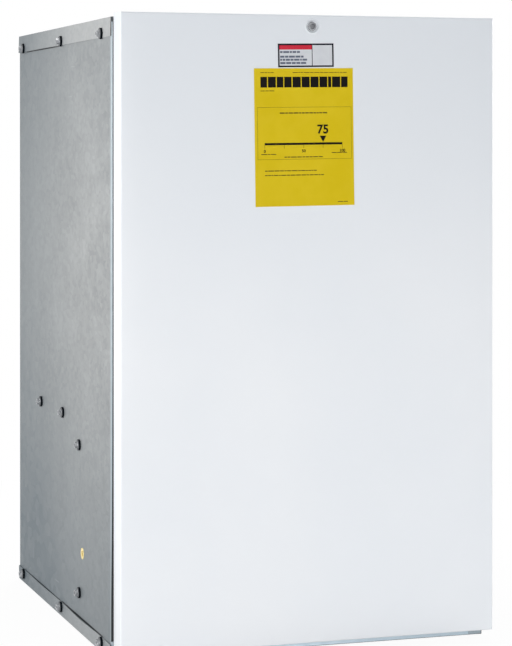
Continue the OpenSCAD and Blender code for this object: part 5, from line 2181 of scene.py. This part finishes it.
@dataclass
class Controls:
    """Breakers, sequencers, relay, transformer, terminals and their wires.

    The leads leave the elements at one height, and the cable comes down to a low point.
    """

    wire_r: float = 2.2
    wire_bend: float = 8.0
    stud_z: float = 165.0
    left_x: float = -150.0
    cable_r: float = 4.0
    cable_bend: float = 9.0
    cable_low: float = 325.0
    lead_out: float = 18.0
    lead_in: float = 14.0

    def build(self) -> None:
        """Dresses the parts and draws the wires."""
        dress(Finish.PHENOLIC, "sequencers", "fan_relay", "terminal_strip", "breaker_bodies")
        dress(Finish.CORE, "transformer_core")
        dress(Finish.COIL_TAPE, "transformer_coil")
        dress(Finish.COPPER, "ground_lug")
        dress(Finish.GALVANISED, "breaker_bracket")
        dress(Finish.HANDLE, "breaker_handle_left", "breaker_handle_right")
        soften(0.8, "sequencers", "fan_relay", "breaker_bodies")
        soften(0.5, "terminal_strip", "transformer_core", "transformer_coil", "ground_lug")
        self.wires()

    def wires(self) -> None:
        """Draws both leads and the motor's cable along the routes that the frame gives."""
        shell, r = Shell(), self.wire_r
        for wire in sorted(solids_of("power_wires"), key=lambda points: points[:, 0].min()):
            low, high, _ = span(wire)
            x0, x1 = low[0] + r, high[0] - r
            if low[0] >= self.left_x:
                x0, x1 = x1, x0
            foot, turn, top = high[1], low[1] + r, high[2] - r
            last = wire[(wire[:, 2] > top - r - 0.1) & (np.abs(wire[:, 0] - x1) < r + 0.1), 1].max()
            stud = self.stud_z
            route = [(x0, foot, stud), (x0, turn, stud), (x1, turn, top), (x1, last, top)]
            shell.tube(swept(bent_route(route, self.wire_bend), r, 16))
        shell.enter("power_leads", "cabinet", "red_wire", Finish.RED_WIRE, "power_wires")
        cable = Shell()
        low, high, _ = corners_of("motor_cable")
        r = self.cable_r
        x0, x1, y0 = low[0] + r, high[0] - r, high[1]
        z0, z1 = high[2] - r, low[2] + r
        points = solids_of("motor_cable")[0]
        end = points[points[:, 2] < z1 + r + 0.1, 1].max()
        out_y, in_y = y0 - self.lead_out, end - self.lead_in
        route = [
            (x0, y0, z0), (x0, out_y, z0), (x0, out_y, self.cable_low),
            (x1, in_y, z1), (x1, end, z1),
        ]
        cable.tube(swept(bent_route(route, self.cable_bend), r, 20))
        cable.enter("motor_lead", "cabinet", "black_wire", Finish.BLACK_WIRE, "motor_cable")


@dataclass
class Studio:
    """Pale floor, soft lamps, white surroundings and the camera."""

    floor_size: float = 14.0
    ground: float = -0.4
    lens: float = 124.1
    shift_y: float = -0.2643
    place: Point = (-1.002, -3.1804, 0.6949)
    tilt: float = -0.0043
    swing: float = -0.3123
    glow: float = 0.95
    near: float = 0.35
    far: float = 1.3
    soft: float = 0.38

    def build(self) -> None:
        """Sets up the camera, the floor, the lamps and the world."""
        self.camera()
        self.floor()
        self.lamps()
        self.world()
        bpy.context.scene.view_settings.view_transform = "Standard"

    def camera(self) -> None:
        """Sets the camera where the furnace shows its front and left side."""
        data = bpy.data.cameras.new("camera")
        data.lens = self.lens
        data.sensor_width = 36
        data.shift_y = self.shift_y
        camera = linked("camera", data)
        camera.location = self.place
        camera.rotation_euler = (math.pi / 2 + self.tilt, 0, self.swing)
        bpy.context.scene.camera = camera

    def floor(self) -> None:
        """Lays the floor, white to the camera but with the furnace's shadow kept."""
        half = self.floor_size / 2 / MM
        u = np.linspace(-half, half, 9)
        gx, gy = np.meshgrid(u, u, indexing="ij")
        shell = Shell()
        shell.grid(np.stack([gx, gy, np.full_like(gx, self.ground)], -1))
        floor = shell.piece("floor")
        if floor.data.polygons[0].normal.z < 0:
            floor.data.flip_normals()
        g = Graph("floor")
        dust = g.noise(400, 2)
        colour = g.blend(dust * 0.2, paint(245, 245, 245), paint(250, 250, 250))
        away = g.node("ShaderNodeVectorMath", {"operation": "LENGTH"}, {0: g.place()}, 1)
        plain = g.node("ShaderNodeBsdfDiffuse", None, {"Color": colour})
        bright = g.node(
            "ShaderNodeEmission", None, {"Color": (1.0, 1.0, 1.0, 1.0), "Strength": 1.0}
        )
        share = seen_ray(g) * (self.glow + (1 - self.glow) * away.rise(self.near, self.far))
        mixed = g.node("ShaderNodeMixShader", None, {0: share, 1: plain, 2: bright})
        g.node("ShaderNodeOutputMaterial", None, {"Surface": mixed})
        floor.data.materials.append(g.owner)

    def lamps(self) -> None:
        """Hangs soft lamps in front, at both sides, behind and above."""
        lamps = (
            ("front_lamp", (-0.6, -3.7, 0.25), (0.0, -0.3, 0.4), 1.6, 70.0),
            ("left_lamp", (-1.4, -0.14, 0.80), (-0.27, -0.14, 0.45), 0.3, 9.6),
            ("right_lamp", (1.5, 0.10, 0.90), (0.27, 0.00, 0.45), 0.5, 8.0),
            ("rear_lamp", (0.35, 1.60, 0.90), (0.0, 0.31, 0.45), 0.5, 9.0),
            ("top_lamp", (0.2, 0.6, 3.0), (0.0, 0.0, 0.4), 2.0, 26.0),
        )
        for name, place, target, size, power in lamps:
            data = bpy.data.lights.new(name, "AREA")
            data.size = size
            data.energy = power
            lamp = linked(name, data)
            lamp.location = place
            aim = Vector(target) - Vector(place)
            lamp.rotation_euler = aim.to_track_quat("-Z", "Y").to_euler()

    def world(self) -> None:
        """Makes the surroundings white to the camera and to metal, and soft light else."""
        world = bpy.data.worlds.new("studio")
        bpy.context.scene.world = world
        g = Graph(world)
        soft = g.node(
            "ShaderNodeBackground", None, {"Color": (0.96, 0.98, 1.0, 1.0), "Strength": self.soft}
        )
        white = g.node(
            "ShaderNodeBackground", None, {"Color": (1.0, 1.0, 1.0, 1.0), "Strength": 1.0}
        )
        mixed = g.node("ShaderNodeMixShader", None, {0: seen_ray(g), 1: soft, 2: white})
        g.node("ShaderNodeOutputWorld", None, {"Surface": mixed})


def seen_ray(graph: Graph) -> Value:
    """1 for rays from the camera, from gloss and through glass, else 0.

    Args:
        graph: The graph that asks.

    Returns:
        The 1 or 0.
    """
    camera = graph.node("ShaderNodeLightPath", output=0)
    glossy = graph.node("ShaderNodeLightPath", output=3)
    through = graph.node("ShaderNodeLightPath", output=6)
    return graph.math("MINIMUM", camera + glossy + through, 1.0)


def main() -> None:
    """Builds the furnace part by part and reports each piece."""
    logging.basicConfig(level=logging.INFO, format="%(name)s: %(message)s")
    rng = np.random.default_rng(SEED)
    Studio().build()
    Cabinet().build()
    Door().build()
    YellowLabel().build(rng)
    SmallTag().build(rng)
    screws = HexScrew()
    for node in ("strip_screws", "side_screws", "back_screws", "blower_bolts"):
        screws.build(node, "cabinet", rng)
    Insulation().build()
    Blower().build()
    Heater().build()
    Controls().build()


if __name__ == "__main__":
    main()
